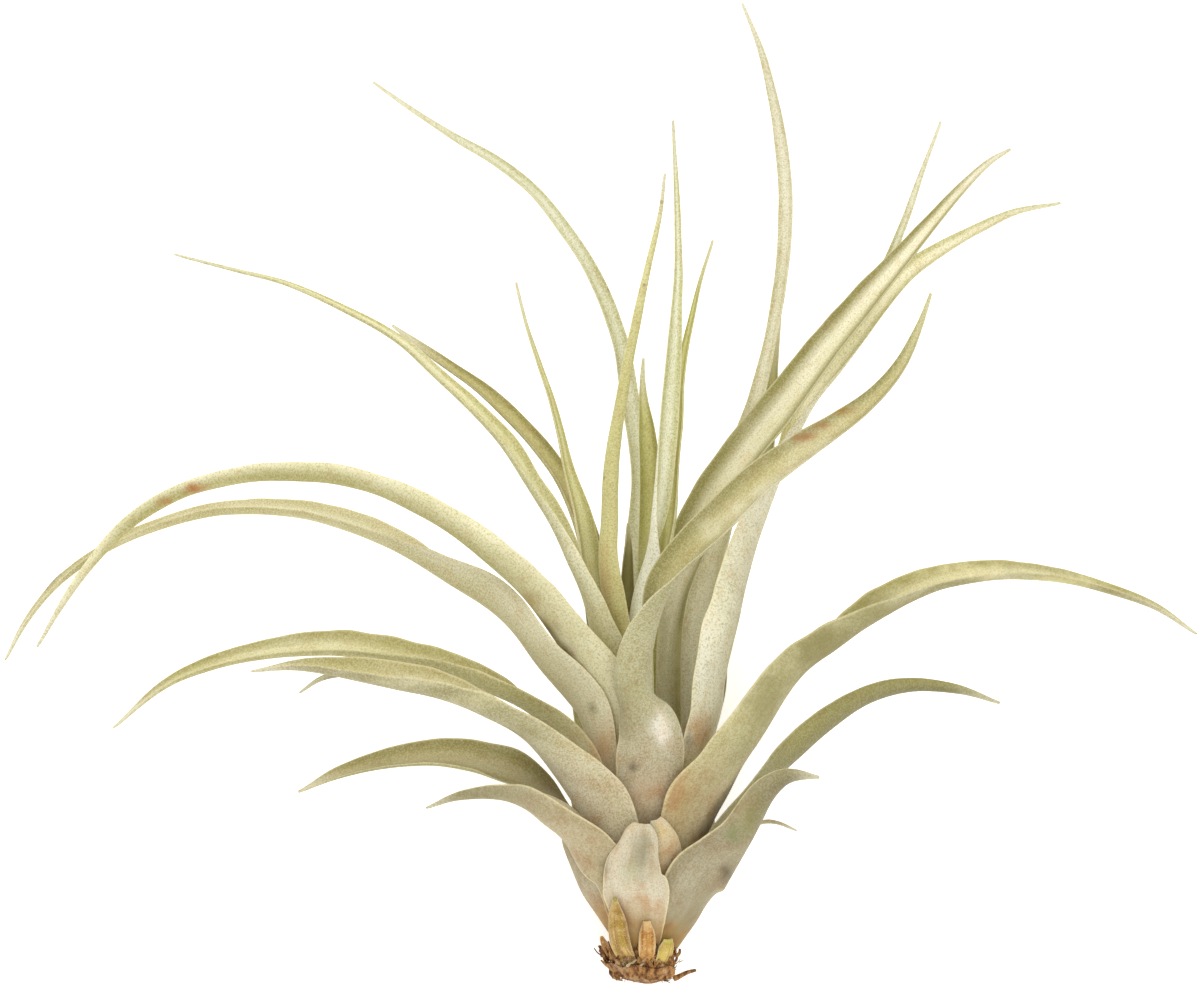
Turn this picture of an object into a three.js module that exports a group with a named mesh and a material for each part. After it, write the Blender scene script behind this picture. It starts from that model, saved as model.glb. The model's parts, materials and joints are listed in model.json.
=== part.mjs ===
// Air plant, lying on a flat surface. Millimetres, +Z up, surface at z = 0.
// Every leaf is laid out in the plant's own axes first: y runs up the stem, x to the right and
// z to the side that faces up when the plant lies down. LEAN then tips the plant onto its back.
import * as THREE from "three";

// Driving dimensions
const LEAN = 19; // degrees the stem rises from the surface
const BACK = 10.4; // depth of the plant's back at its rest, at height REST_Y
const REST_Y = 13;
const MIDDLE = [-8.8, 97.65]; // x and y of the lying plant's middle, placed over the origin
const GAP = 0.3; // clearance between pieces that touch
const FACET = 0.2; // room for the flats of a sheath round the stem
const SHEATH_THICK = 0.8;
const BLADE_THICK = 1.25;
const TIP_THICK = 0.65;
const GUTTER = 72; // degrees each side of the keel, in the free blade
const FOOT_WRAP = 46; // degrees each side of the keel, where a sheath leaves the stem
const RINGS = 20;
// Stem radius against height
const STEM = [[0, 4.2], [4, 4.7], [9, 4.6], [16, 4.3], [26, 3.8], [34, 3], [42, 1.9], [50, 0.7]];

const rad = THREE.MathUtils.degToRad;
const smooth = (a, b, v) => THREE.MathUtils.smoothstep(v, a, b);
const mix = THREE.MathUtils.lerp;
const group = new THREE.Group();
group.name = "air_plant";

const finish = {
  blade: { color: 0xc9c68f, roughness: 0.85 },
  inner: { color: 0xb9b678, roughness: 0.85 },
  low: { color: 0xc7bd9a, roughness: 0.88 },
  scale: { color: 0xb8862a, roughness: 0.9 },
  stem: { color: 0xd2c49a, roughness: 0.9 },
  stub: { color: 0x8a5a28, roughness: 0.95 },
};

function stemRadius(y) {
  for (let i = 1; i < STEM.length; i += 1) {
    const [y0, r0] = STEM[i - 1];
    const [y1, r1] = STEM[i];
    if (y <= y1) return mix(r0, r1, Math.max(0, (y - y0) / (y1 - y0)));
  }
  return STEM[STEM.length - 1][1];
}

// Plant axes to the lying pose; what would sink into the surface is pressed flat on it.
function layDown(p) {
  const c = Math.cos(rad(LEAN));
  const s = Math.sin(rad(LEAN));
  const y = p.y * c - p.z * s;
  const z = p.y * s + p.z * c - (REST_Y * s - BACK * c);
  return new THREE.Vector3(p.x - MIDDLE[0], y - MIDDLE[1], Math.max(0, z));
}

// One closed mesh from rings of equal length, with a flat fan at each end.
function addRings(name, rings, look) {
  const spots = [];
  const faces = [];
  const n = rings[0].length;
  for (const ring of rings) for (const p of ring) spots.push(layDown(p));
  for (let k = 0; k + 1 < rings.length; k += 1) {
    for (let i = 0; i < n; i += 1) {
      const a = k * n + i;
      const b = k * n + ((i + 1) % n);
      faces.push(a, b + n, b, a, a + n, b + n);
    }
  }
  for (const [ring, base, turn] of [[rings[0], 0, false], [rings.at(-1), (rings.length - 1) * n, true]]) {
    const mid = ring.reduce((sum, p) => sum.add(p), new THREE.Vector3()).divideScalar(n);
    const hub = spots.push(layDown(mid)) - 1;
    for (let i = 0; i < n; i += 1) {
      const a = base + i;
      const b = base + ((i + 1) % n);
      if (turn) faces.push(hub, b, a);
      else faces.push(hub, a, b);
    }
  }
  const shape = new THREE.BufferGeometry().setFromPoints(spots);
  shape.setIndex(faces);
  shape.computeVertexNormals();
  const mesh = new THREE.Mesh(shape, new THREE.MeshStandardMaterial({ ...look, metalness: 0 }));
  mesh.name = name;
  group.add(mesh);
}

// A leaf: foot is the height at which it leaves the stem. Each point of path is x, y, z and the
// leaf's width there. The first point is the top of the sheath, and gives the side it grows on.
// face is the way the inner side looks at the blade's middle; the leaf turns to it from begin to turn.
// fold is the gutter before the turn, where a leaf is rolled closer.
function addLeaf(name, { foot, path, face, begin = 0.1, turn = 0.55, thick = BLADE_THICK,
  sheath = SHEATH_THICK, hold = FOOT_WRAP, gutter = GUTTER, fold = gutter, look = finish.blade }) {
  const top = path[0];
  const out = new THREE.Vector3(top[0], 0, top[2]);
  const reach = out.length();
  out.normalize();
  const footRadius = stemRadius(foot) + GAP + FACET + sheath / 2;
  const wide = 2 * rad(hold) * footRadius;
  const start = out.clone().multiplyScalar(footRadius).setY(foot);
  const shoulder = out.clone().multiplyScalar(mix(footRadius, reach, 0.5)).setY(mix(foot, top[1], 0.5));
  const spots = [start, shoulder, ...path.map((p) => new THREE.Vector3(p[0], p[1], p[2]))];
  const widths = [wide, mix(wide, top[3], 0.6), ...path.map((p) => p[3])];
  const curve = new THREE.CatmullRomCurve3(spots, false, "centripetal");
  curve.arcLengthDivisions = 400;
  const last = spots.length - 1;
  const across = [];
  const stations = [];
  for (let k = 0; k < RINGS; k += 1) {
    const u = k / (RINGS - 1);
    const t = curve.getUtoTmapping(u) * last;
    const i = Math.min(last - 1, Math.floor(t));
    const point = curve.getPoint(t / last);
    const along = curve.getTangent(t / last);
    const before = across.length ? across.at(-1) : out.clone().negate();
    across.push(before.clone().addScaledVector(along, -before.dot(along)).normalize());
    stations.push({ u, t, point, along, width: mix(widths[i], widths[i + 1], t - i) });
  }
  let twist = 0;
  const k0 = Math.round(turn * (RINGS - 1));
  if (face) {
    const { along } = stations[k0];
    const aim = new THREE.Vector3(...face);
    aim.addScaledVector(along, -aim.dot(along)).normalize();
    twist = Math.atan2(across[k0].clone().cross(aim).dot(along), across[k0].dot(aim));
  }
  const rings = stations.map(({ u, t, point, along, width }, k) => {
    const inward = new THREE.Vector3(-point.x, 0, -point.z).normalize();
    const free = smooth(1.8, 4.2, t);
    const normal = across[k].clone();
    normal.applyAxisAngle(along, twist * smooth(begin, turn, u));
    normal.lerp(inward, 1 - free).normalize();
    const side = along.clone().cross(normal).normalize();
    const hug = Math.hypot(point.x, point.z);
    const roll = rad(mix(fold, gutter, smooth(turn - 0.08, turn + 0.08, u)));
    const bend = mix(hug, width / 2 / roll, smooth(1.7, 4.4, t));
    const half = Math.min(roll, width / 2 / bend);
    const full = mix(sheath, thick, free);
    const deep = Math.min(full, mix(full, TIP_THICK, smooth(0.55, 0.98, u)));
    const sink = (free * bend * (1 - Math.cos(half))) / 2;
    const centre = point.clone().addScaledVector(normal, bend - sink);
    const at = (share, lift) => {
      const r = bend + lift * (deep / 2);
      return centre.clone()
        .addScaledVector(normal, -r * Math.cos(half * share))
        .addScaledVector(side, r * Math.sin(half * share));
    };
    return [at(-1, 0), at(-0.55, 0.95), at(0, 1), at(0.55, 0.95), at(1, 0), at(0.62, -0.9), at(0, -1),
      at(-0.62, -0.9)];
  });
  addRings(name, rings, look);
}

// Leaves from the lowest and outermost to the innermost. Widths are along the leaf's own curve.
const leaves = {
  // front and left, seen from the side that faces up
  leaf_01: { foot: 23, face: [0.1, 1, 0.4], begin: 0.3, path: [[-13, 54, 4.9, 17],
    [-20.6, 63.3, 2.6, 15.2], [-28.3, 73.9, -3.2, 14.4], [-38.6, 80.4, -9.6, 12.6], [-49, 86.4, -15, 11],
    [-59, 90.6, -22, 9.2], [-69, 93, -27, 8], [-79, 93.6, -31.6, 7], [-89, 92.6, -35.6, 6.2],
    [-105, 87, -34.3, 5], [-117, 79, -32.3, 3.6], [-124, 70.5, -29.4, 2.2], [-128, 63, -26.6, 0.8]] },
  leaf_02: { foot: 27, hold: 34, face: [0.1, 1, -0.55], path: [[-8, 55, 9.4, 14.8],
    [-17.4, 70.6, 9.4, 11.6], [-29, 83, 5, 11.6], [-39, 90.6, 1, 10.4], [-49, 96, -3, 9.4],
    [-59, 99.4, -8, 8.4], [-69, 100.4, -13, 7.4], [-79, 100, -18, 6.4], [-91.6, 97, -24, 5.4],
    [-102.4, 91, -29, 4.4], [-109, 84.4, -30, 3.4], [-116, 75, -27, 2.2], [-121.6, 65.6, -23.5, 0.8]] },
  leaf_03: { foot: 19.4, face: [0.1, 1, 0.75], turn: 0.7, path: [[-14, 44, 5, 16], [-19, 50.4, 5, 15.2],
    [-29, 57.6, 3, 13.8], [-39, 62, 0, 11.6], [-49, 64.2, -4, 11], [-62.4, 66, -9, 9.6],
    [-78, 64.4, -15, 7.4], [-89, 61.4, -19, 5.4], [-97, 57.4, -20, 3.4], [-106.4, 49.4, -18.5, 0.8]] },
  leaf_04: { foot: 9.5, hold: 42, face: [0.1, 1, 0.4], turn: 0.8, path: [[-8.2, 33.4, 14.7, 12.4],
    [-16.3, 42.4, 16, 12.6], [-28, 52, 16, 15], [-39, 57.2, 14, 14.6], [-49, 59.4, 11, 13.6],
    [-59, 61, 7, 10.6], [-69, 62, 3, 5.6], [-78.8, 60.8, -1, 0.9]] },
  leaf_05: { foot: 15.8, hold: 40, face: [0.1, 1, 0.4], path: [[-14.9, 40, -2.4, 10.6], [-25, 50, -6, 8],
    [-38, 57, -11, 5.8], [-50, 60, -14, 4.4], [-60, 60.4, -16.5, 3], [-65.2, 59.2, -17.6, 2],
    [-69.2, 56.4, -18.4, 0.8]] },
  leaf_06: { foot: 12.7, hold: 40, face: [0, 0.9, 1], path: [[-13.6, 30.4, 0.8, 12.6], [-20, 36.6, 0, 13],
    [-29, 41.8, -2, 11.2], [-39, 44, -4.6, 9.4], [-49, 43.4, -8, 7.6], [-61, 40.4, -12.4, 4.4],
    [-69.4, 36.6, -14, 0.8]] },
  leaf_07: { foot: 4.2, hold: 26, face: [0, 1, -0.2], turn: 0.8, path: [[-6.9, 20, 14.3, 9],
    [-12.3, 25.7, 14.5, 12.4], [-17.8, 31.1, 13.6, 14], [-23, 35, 11.2, 12.2], [-29, 36.5, 8.8, 7.8],
    [-37.6, 35.7, 5.6, 3.8], [-43.8, 33.4, 4, 0.8]], look: finish.low },
  leaf_08: { foot: 6.2, hold: 28, path: [[-12, 17, 4.2, 13.8], [-13.8, 22.2, 5, 12.4],
    [-15, 26, 5, 8.6], [-15.9, 29, 4.6, 4.4], [-16.3, 30.6, 4.2, 1]], look: finish.low },
  leaf_09: { foot: 1.9, hold: 27, path: [[-1.9, 16.5, 15.9, 14], [-2.6, 20, 17.4, 12.6],
    [-2, 23.3, 18.5, 12.2], [-1.3, 26, 19.2, 10.3], [-1, 28, 19.7, 9.1], [-0.8, 29.5, 20.1, 7],
    [-0.7, 30.4, 20.3, 4]], thick: 1.6, look: finish.low },
  leaf_10: { foot: 3.6, hold: 32, face: [-0.5, 0.5, -0.7], path: [[11.2, 18.6, 11.6, 17.6],
    [15.4, 23.8, 12.2, 14.2], [19, 28.2, 12.6, 11], [21.4, 32.2, 12.8, 9.8], [23.4, 35.6, 12.6, 9],
    [25.6, 37.9, 12.4, 7.4], [28.4, 39.6, 12, 4.8], [31.2, 39.9, 11.8, 2.8], [34.9, 39.5, 11.4, 0.9]],
    thick: 1.6, look: finish.low },
  leaf_11: { foot: 5.7, hold: 30, path: [[13, 18, -0.6, 8], [18.4, 27, -3.6, 5], [23, 30.6, -5, 2.4],
    [26.5, 30.6, -5.6, 1.4], [30.4, 28.9, -6.2, 0.7]], look: finish.low },
  leaf_12: { foot: 8.6, hold: 41, face: [0, 1, -0.6], path: [[14.5, 27, 1, 15], [21, 35, -0.4, 13.4],
    [28, 43.4, -3, 11.6], [36, 50.6, -7, 9.6], [45, 56, -12, 7], [53, 57.8, -16, 5],
    [63, 57, -19.5, 2.8], [71, 54.4, -21, 0.8]] },
  leaf_13: { foot: 11.5, hold: 45, face: [0, 1, 0.5], begin: 0.28, turn: 0.64, path: [[12.8, 35, 8.8, 22],
    [16.2, 41.6, 9.4, 17.6], [20.6, 48.6, 9, 15.4], [29.8, 61.8, 4, 13.6], [37.4, 67.6, 0, 15],
    [44.4, 72.4, -4, 14.6], [55.8, 78.2, -11, 10.6], [63.4, 80, -16, 9.4], [71.6, 80.8, -21, 8.4],
    [81.6, 80, -26.9, 7], [91, 77.8, -31.1, 5.2], [102, 73.8, -30.2, 3.2], [110.4, 68.2, -27.4, 0.9]] },
  leaf_14: { foot: 16, face: [-0.3, 0.5, 1], begin: 0.29, turn: 0.5, fold: 104, path: [
    [1.2, 43, 14.8, 14.6], [1, 48.5, 15.8, 14], [-1, 53.4, 17, 12.6], [-2.5, 57.6, 17.9, 12.4],
    [-2.3, 61.6, 18.6, 12.4], [-0.9, 66.4, 19.3, 12.2], [0.5, 71.4, 19.9, 12], [2.8, 77.2, 20.8, 11],
    [6.2, 82.4, 21.3, 10.4], [10.6, 87, 21.9, 10.4], [15.4, 91.6, 22.5, 10.4], [22.4, 98.4, 23, 9.8],
    [31, 104.8, 22.6, 8.6], [36.8, 108.8, 22, 7.4], [42.4, 112.6, 21, 6], [47.8, 117.6, 19.6, 4.6],
    [51.8, 123, 18, 3.6], [55, 130, 16, 2], [57.2, 136.4, 14.5, 0.8]] },
  // up and right
  leaf_15: { foot: 32.5, face: [-0.5, 0.3, 1], path: [[3.4, 50, -7.6, 10.6], [3.2, 62, -9, 11],
    [5, 75, -9.4, 11.4], [9.2, 86, -9, 12], [14.6, 97, -8, 11.6], [21.4, 106.4, -7, 11.4],
    [27.6, 114, -6, 11], [33.8, 122.4, -6, 10], [42.2, 132.8, -7, 8.6], [53.6, 146, -10, 5.6],
    [64, 158, -14, 3], [69.4, 163, -16, 1.8], [73.2, 165.2, -17, 0.8]] },
  leaf_16: { foot: 22.5, face: [-0.3, 0.4, 1], begin: 0.42, turn: 0.7, path: [[13.7, 53, 6.5, 15],
    [14.3, 60, 6.3, 15.2], [14.9, 66, 5.2, 14.4], [16.3, 72, 3.2, 13.6], [17.8, 78, 0.6, 12.4],
    [19.6, 84, -2.4, 11], [22, 91, -6, 9.6], [24.8, 98, -9, 9], [28.4, 107, -11.4, 8.8],
    [33, 116, -11.6, 8.6], [39, 124, -11.4, 8], [45, 132, -12, 7], [52, 140, -14, 5.6],
    [59, 145, -17, 4.2], [67, 149.4, -21, 3], [74, 152.6, -24, 2], [83.2, 154.4, -28, 0.8]] },
  leaf_17: { foot: 15, hold: 20, face: [-0.3, 0.3, 1], path: [[5.6, 55, -17, 9], [7.2, 72, -21.5, 7],
    [12, 88, -24.4, 6], [18, 100, -25.6, 5], [27, 111, -25.6, 4.4], [39, 127, -25, 3.8],
    [46, 137, -25, 3.2], [51.7, 150, -26.4, 2.2], [55.2, 160, -28.6, 1.5],
    [59.2, 170.8, -31, 0.7]] },
  leaf_18: { foot: 28.5, hold: 40, face: [-0.4, 0.1, 1], path: [[9, 52, -10, 9.6],
    [9.6, 63, -13.4, 9.4], [11.4, 75, -16, 9.4], [14.2, 87, -18.4, 9], [17.2, 98, -20.6, 7.4],
    [20.2, 108, -22.4, 5.8], [22.8, 117, -24, 4.2], [25.1, 127, -26, 3.3], [26.8, 136.4, -28, 3.4],
    [28, 146, -30, 4], [28.2, 155, -32, 4], [27.4, 165.6, -34.6, 3.6], [25.4, 176.4, -37.4, 2.6],
    [23.2, 185, -40, 1.7], [19.4, 194.4, -43, 0.7]] },
  leaf_19: { foot: 18.4, hold: 18, face: [-0.4, 0.1, 1], path: [[13.7, 55, -11.8, 8.2],
    [14.5, 66, -17.2, 6.2], [17.8, 77, -21.6, 5.6], [21.2, 90, -25.2, 5.2], [23.9, 102, -29, 4.6],
    [25, 112, -32, 4], [25.7, 122, -35, 3], [27.1, 133, -38, 0.8]] },
  // up and left
  leaf_20: { foot: 36, hold: 24, face: [0.2, 0.2, 1], path: [[-4.5, 62, -6.6, 5.8], [-2.6, 80, -12.2, 4.8],
    [-0.9, 95, -16, 5.6], [-1.6, 107, -19, 5.4], [-3.4, 117, -22, 4.8], [-4.9, 126, -24, 4.4],
    [-8, 135, -27, 4], [-11.6, 142.6, -29, 3.6], [-16, 149, -31, 3.4],
    [-22.2, 156.7, -34, 3.2], [-29.7, 162.7, -37, 2.8], [-37.8, 167.4, -40, 2.2],
    [-45, 172, -43, 1.4], [-54.4, 178.6, -47, 0.7]] },
  leaf_21: { foot: 39.5, face: [0.6, 0, -1], path: [[-4.6, 62, 4.2, 7.6], [-6.4, 73, 5, 7.4],
    [-7.6, 83, 5.8, 5.8], [-7.3, 91, 6, 5], [-6.8, 102, 6.6, 4.2], [-5.2, 113, 7, 3.3],
    [-2.5, 127, 7, 2.6], [0.4, 141, 6.6, 1.9], [3, 152, 6, 1.2], [4, 160.4, 5.6, 0.7]] },
  leaf_22: { foot: 43.5, face: [0.3, 0, 1], path: [[-1.2, 66, 5, 5.6], [0.4, 79, 4.8, 6.4],
    [2.6, 91, 4.8, 6], [4, 103, 5, 5.4], [5, 115, 5.4, 4.8], [5.8, 125, 5.4, 4],
    [6.2, 132, 5.4, 3.2], [6.6, 141, 5, 2.4], [6.6, 148, 5, 1.9], [6, 163, 4.6, 1.1],
    [5.6, 171, 4.4, 0.7]] },
  leaf_23: { foot: 48, face: [-0.5, 0, 1], path: [[0.8, 66, 1.2, 3.6], [3.5, 79, -0.4, 4.6],
    [4.9, 91, -0.4, 4.6], [5.5, 103, 0, 4.4], [6.3, 111, 0.2, 4.1], [6.9, 118, 0.2, 3],
    [7.9, 125, 0, 2.2], [9.4, 132, -0.2, 1.6], [11.1, 139, -0.6, 1.1], [13.6, 147, -1.2, 0.7]] },
  leaf_24: { foot: 45, face: [0, 0, 1], path: [[0.2, 66, -4.4, 5], [1.2, 79, -5.4, 6],
    [1.2, 92, -5.6, 6], [1, 101, -5.6, 5.6], [0.4, 109, -5.6, 4.4], [-0.3, 115, -5.6, 2.4],
    [-0.5, 120, -5.6, 1.2], [-0.3, 123.4, -5.6, 0.7]] },
  leaf_25: { foot: 35.5, hold: 23, face: [0.6, 0, 1], path: [[-7.8, 62, -0.8, 6.4], [-9.4, 73, -2, 6.2],
    [-11, 83, -1.8, 6.2], [-12.6, 92, -1.8, 5], [-15.2, 101, -2, 2.9], [-16.8, 108, -2.4, 2.2],
    [-18.8, 115.6, -3, 1.7], [-21, 122, -3.6, 1.3], [-23.4, 129, -4.4, 1],
    [-25.8, 138.6, -5.6, 0.7]] },
  leaf_26: { foot: 31, face: [0.6, 0.8, 0.7], path: [[-6.6, 60, 6.6, 11], [-9.8, 71, 7.6, 10.4],
    [-13, 81, 7.6, 9.6], [-17, 90, 6.6, 8.6], [-22.6, 98.8, 5.4, 7], [-27.8, 106.8, 3.8, 6],
    [-33.3, 112.8, 2, 5], [-41.2, 120, -0.4, 4], [-49, 127, -3, 3.2], [-62.8, 134.6, -7, 2.2],
    [-73, 138.8, -10, 1.6], [-81, 140.8, -12.4, 1.2], [-94.2, 144.2, -16, 0.7]] },
  leaf_27: { foot: 28.2, face: [0.6, 0.5, 0.8], path: [[-8.6, 60, -5.8, 9], [-9.8, 72, -8, 8],
    [-10.8, 83, -9, 7.2], [-13.2, 92.4, -10, 6.8], [-17.2, 100.4, -10.6, 5.6], [-22.1, 106.8, -11, 5.3],
    [-27.5, 112.5, -11.4, 4.9], [-33.1, 117.5, -12, 4.2], [-38.8, 121.5, -12.6, 3.5],
    [-44, 125.2, -13.4, 2.6], [-50.6, 130, -14.4, 0.8]] },
  leaf_28: { foot: 40.5, path: [[-3.8, 62, -4.2, 4.4], [-3.8, 75, -5, 4], [-3.4, 85, -5, 2.4],
    [-3.4, 90.4, -4.8, 0.8]], look: finish.inner },
  // short, behind the lowest front leaf
  leaf_35: { foot: 8.6, hold: 20, path: [[3.3, 21, 12, 9.2], [3.8, 25, 13.9, 7.8],
    [3.4, 28.2, 15.1, 6.2], [2.6, 30.2, 16, 4.8], [2.2, 31.2, 16.4, 2.8]], thick: 0.8, look: finish.low },
  // behind, next to the surface
  leaf_29: { foot: 7.6, hold: 30, gutter: 30, sheath: 1.5, path: [[0.2, 17, -10.8, 9],
    [1.2, 24, -13.5, 10], [1.8, 31, -15.8, 7], [2.4, 36, -17, 1.6]], thick: 1.8, look: finish.low },
  leaf_30: { foot: 3, hold: 30, path: [[8.6, 20, -10.2, 10], [11, 26.6, -13.2, 8.6], [12.8, 29.4, -14.6, 5],
    [13.6, 31, -15.4, 1.4]], look: finish.low },
  leaf_31: { foot: 8.4, hold: 34, path: [[-10, 24, -7, 9], [-12.4, 32, -11, 8], [-14, 37.6, -14.4, 5],
    [-15.4, 41, -16, 1.2]], look: finish.low },
  leaf_32: { foot: 11, hold: 34, path: [[1.5, 33, -12.8, 12], [3, 45, -17.4, 10], [5, 57, -20.8, 8],
    [7, 68, -23.6, 5], [9, 76, -26, 1.2]], look: finish.inner },
  leaf_33: { foot: 18.4, hold: 35, path: [[-7.8, 38, -11.8, 10], [-10, 48, -16, 10], [-12.6, 58, -19.6, 8],
    [-16, 67, -22.6, 5], [-20, 74, -25, 1.2]], look: finish.inner },
  leaf_34: { foot: 24.5, hold: 34, path: [[-3.2, 46, -11.6, 10.4], [-4.2, 56, -15.8, 8.4], [-5.4, 66, -19, 7],
    [-7, 76, -21.8, 5], [-9.4, 84, -24, 3], [-11, 90, -25.4, 1]], look: finish.inner },
};

// Old leaf bases at the foot, dry and ochre
const scales = {
  dry_scale_front: { foot: 0.3, hold: 13, path: [[-5, 6, 9.4, 5], [-5.6, 11, 12.5, 4.2],
    [-6, 15.4, 15.6, 1]] },
  dry_scale_middle: { foot: 0.3, hold: 9, path: [[0.4, 5.6, 10.2, 3.4], [0.4, 8.4, 12, 3.2],
    [0.3, 10.8, 13.5, 1.6]] },
  dry_scale_right_front: { foot: 0.3, hold: 12, path: [[4, 3.8, 7.6, 3.6], [4.4, 5.6, 8.8, 3.6],
    [4.7, 7.2, 9.8, 2]] },
  dry_scale_left: { foot: 1.6, hold: 24, path: [[-7.4, 4, 1.7, 6.4], [-8.1, 6, 1.9, 5],
    [-8.7, 7.8, 2, 1.8]] },
};

for (const [name, leaf] of Object.entries(leaves)) addLeaf(name, leaf);
for (const [name, leaf] of Object.entries(scales)) {
  addLeaf(name, { ...leaf, look: finish.scale });
}

// A ring round a line through (x, y, z); bump gives each point's own radius.
function ringAt(x, y, z, radius, sides, bump = () => 1) {
  return Array.from({ length: sides }, (_, i) => {
    const turn = (2 * Math.PI * i) / sides;
    const r = radius * bump(i);
    return new THREE.Vector3(x - r * Math.sin(turn), y, z + r * Math.cos(turn));
  });
}

addRings("stem", STEM.map(([y, r]) => ringAt(0, y, 0, r, 12)), finish.stem);

// Torn woody cup round the foot of the stem, drawn in on its left, open on its right and back.
// rims gives the height of its torn edge from the front round by the left.
const rims = [1.7, 2.2, 1.5, 2.6, 2.5, 3.2, 2, 0.6, -0.1, -0.3, -0.3, -0.3, -0.3, -0.3, -0.3, -0.3,
  -0.3, 1.3, 2.1, 1.2];
const angle = (i) => (2 * Math.PI * i) / rims.length;
const open = (i) => rims[i] <= 0;
const rimRadius = (i) => (open(i) ? 4.4 : 6.2 + 0.8 * Math.max(0, rims[i] - 0.3));
const outRadius = (i) => rimRadius(i) + (open(i) ? 0.3 : 0.7);
const floorRadius = (i) => (open(i) ? 4.1 : mix(6, 4.8, smooth(0.6, 1, Math.sin(angle(i)))));
function cupRing(middle, height, radius) {
  return rims.map((_, i) => {
    const r = radius(i);
    return new THREE.Vector3(middle - r * Math.sin(angle(i)), height(i), r * Math.cos(angle(i)));
  });
}
addRings("root_stub", [
  cupRing(0.6, () => -1.75, () => 0.9),
  cupRing(0.4, () => -1.35, () => 2.6),
  cupRing(0, () => -1, (i) => floorRadius(i) - 0.7),
  cupRing(0, (i) => mix(-0.7, rims[i], 0.4), (i) => mix(floorRadius(i) + 0.1, outRadius(i), 0.5)),
  cupRing(0, (i) => rims[i], outRadius),
  cupRing(0, (i) => rims[i] - 0.05, rimRadius),
  cupRing(0, () => -0.4, floorRadius),
  cupRing(0, () => -0.4, () => 3),
], finish.stub);

// A thin round root along hand-placed points
function addRoot(name, points) {
  const curve = new THREE.CatmullRomCurve3(points.map((p) => new THREE.Vector3(...p)));
  const rings = [];
  for (let k = 0; k <= 6; k += 1) {
    const spot = curve.getPointAt(k / 6);
    const along = curve.getTangentAt(k / 6);
    const side = new THREE.Vector3(0, 1, 0).addScaledVector(along, -along.y).normalize();
    const other = side.clone().cross(along);
    const r = mix(0.7, 0.4, k / 6);
    rings.push(Array.from({ length: 6 }, (_, i) => spot.clone()
      .addScaledVector(side, r * Math.cos((i * Math.PI) / 3))
      .addScaledVector(other, r * Math.sin((i * Math.PI) / 3))));
  }
  addRings(name, rings, finish.stub);
}

addRoot("root_fibre", [[5.6, -0.8, 1.8], [6.8, -0.3, 1.8], [8.4, 0.5, 1.7], [10.3, 1, 1.4]]);

export default group;
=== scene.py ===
"""An air plant lying on a pale surface, in metres, in the same frame as its solids.

The plant is laid out in its own axes, in millimetres: y runs up the stem, x to the right and z to
the side that faces up. lie_down() then tips it onto its back. Every leaf is one closed skin swept
along a curve, from a sheath that hugs the stem to a channelled blade and a thin dry tip.
"""

import json
import logging
import math
import random
from dataclasses import dataclass, field
from enum import Enum

import bmesh
import bpy
from mathutils import Matrix, Vector, noise

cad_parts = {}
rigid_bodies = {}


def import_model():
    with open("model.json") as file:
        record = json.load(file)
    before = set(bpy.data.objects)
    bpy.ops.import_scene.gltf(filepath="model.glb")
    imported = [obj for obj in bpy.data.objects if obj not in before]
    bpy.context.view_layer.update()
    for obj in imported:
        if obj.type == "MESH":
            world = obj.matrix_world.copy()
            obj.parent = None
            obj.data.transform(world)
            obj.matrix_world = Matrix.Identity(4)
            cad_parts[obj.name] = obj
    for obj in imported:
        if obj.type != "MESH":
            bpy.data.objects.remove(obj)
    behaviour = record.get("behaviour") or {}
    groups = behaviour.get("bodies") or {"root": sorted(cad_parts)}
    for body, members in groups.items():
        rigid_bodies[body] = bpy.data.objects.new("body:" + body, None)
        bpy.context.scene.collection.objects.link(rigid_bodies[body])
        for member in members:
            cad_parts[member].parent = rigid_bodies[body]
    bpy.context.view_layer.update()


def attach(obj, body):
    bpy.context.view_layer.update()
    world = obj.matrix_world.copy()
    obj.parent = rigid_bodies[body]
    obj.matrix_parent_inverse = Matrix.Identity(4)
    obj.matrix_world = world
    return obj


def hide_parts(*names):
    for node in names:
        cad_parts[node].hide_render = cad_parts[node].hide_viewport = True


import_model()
LOG = logging.getLogger("air_plant")

MM: float = 0.001
LEAN: float = 19.0  # degrees the stem rises from the surface
BACK: float = 10.4  # depth of the plant's back at its rest, at height REST_Y
REST_Y: float = 13.0
MIDDLE: tuple[float, float] = (-8.8, 97.65)  # x and y of the lying plant's middle
GAP: float = 0.3  # kept between pieces that lie together
FACET: float = 0.2  # how far a flat side of the stem's solid lies inside its round
DRIED: str = "a87e30"  # colour of the sheaths' dried bottoms
DRIED_TOP: tuple[float, float] = (17.5, 12.5)  # how high they reach, in front and on the right
DRIED_EASE: float = 7.0
SHEATHS: tuple[float, float] = (34.0, 64.0)  # heights between which sheaths pass into blades
STEM: tuple[tuple[float, float], ...] = (  # height and radius
    (0, 4.2), (4, 4.7), (9, 4.6), (16, 4.3), (26, 3.8), (34, 3), (42, 1.9), (50, 0.7))

Point = tuple[float, float, float]
PathPoint = tuple[float, float, float, float]


def smooth(low: float, high: float, value: float) -> float:
    """Eases from 0 at low to 1 at high.

    Args:
        low: where the easing starts.
        high: where it ends.
        value: the place asked about.

    Returns:
        A number from 0 to 1.
    """
    share = min(1.0, max(0.0, (value - low) / (high - low)))
    return share * share * (3 - 2 * share)


def mix(low: float, high: float, share: float) -> float:
    """Returns the value that lies at share of the way from low to high."""
    return low + (high - low) * share


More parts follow.
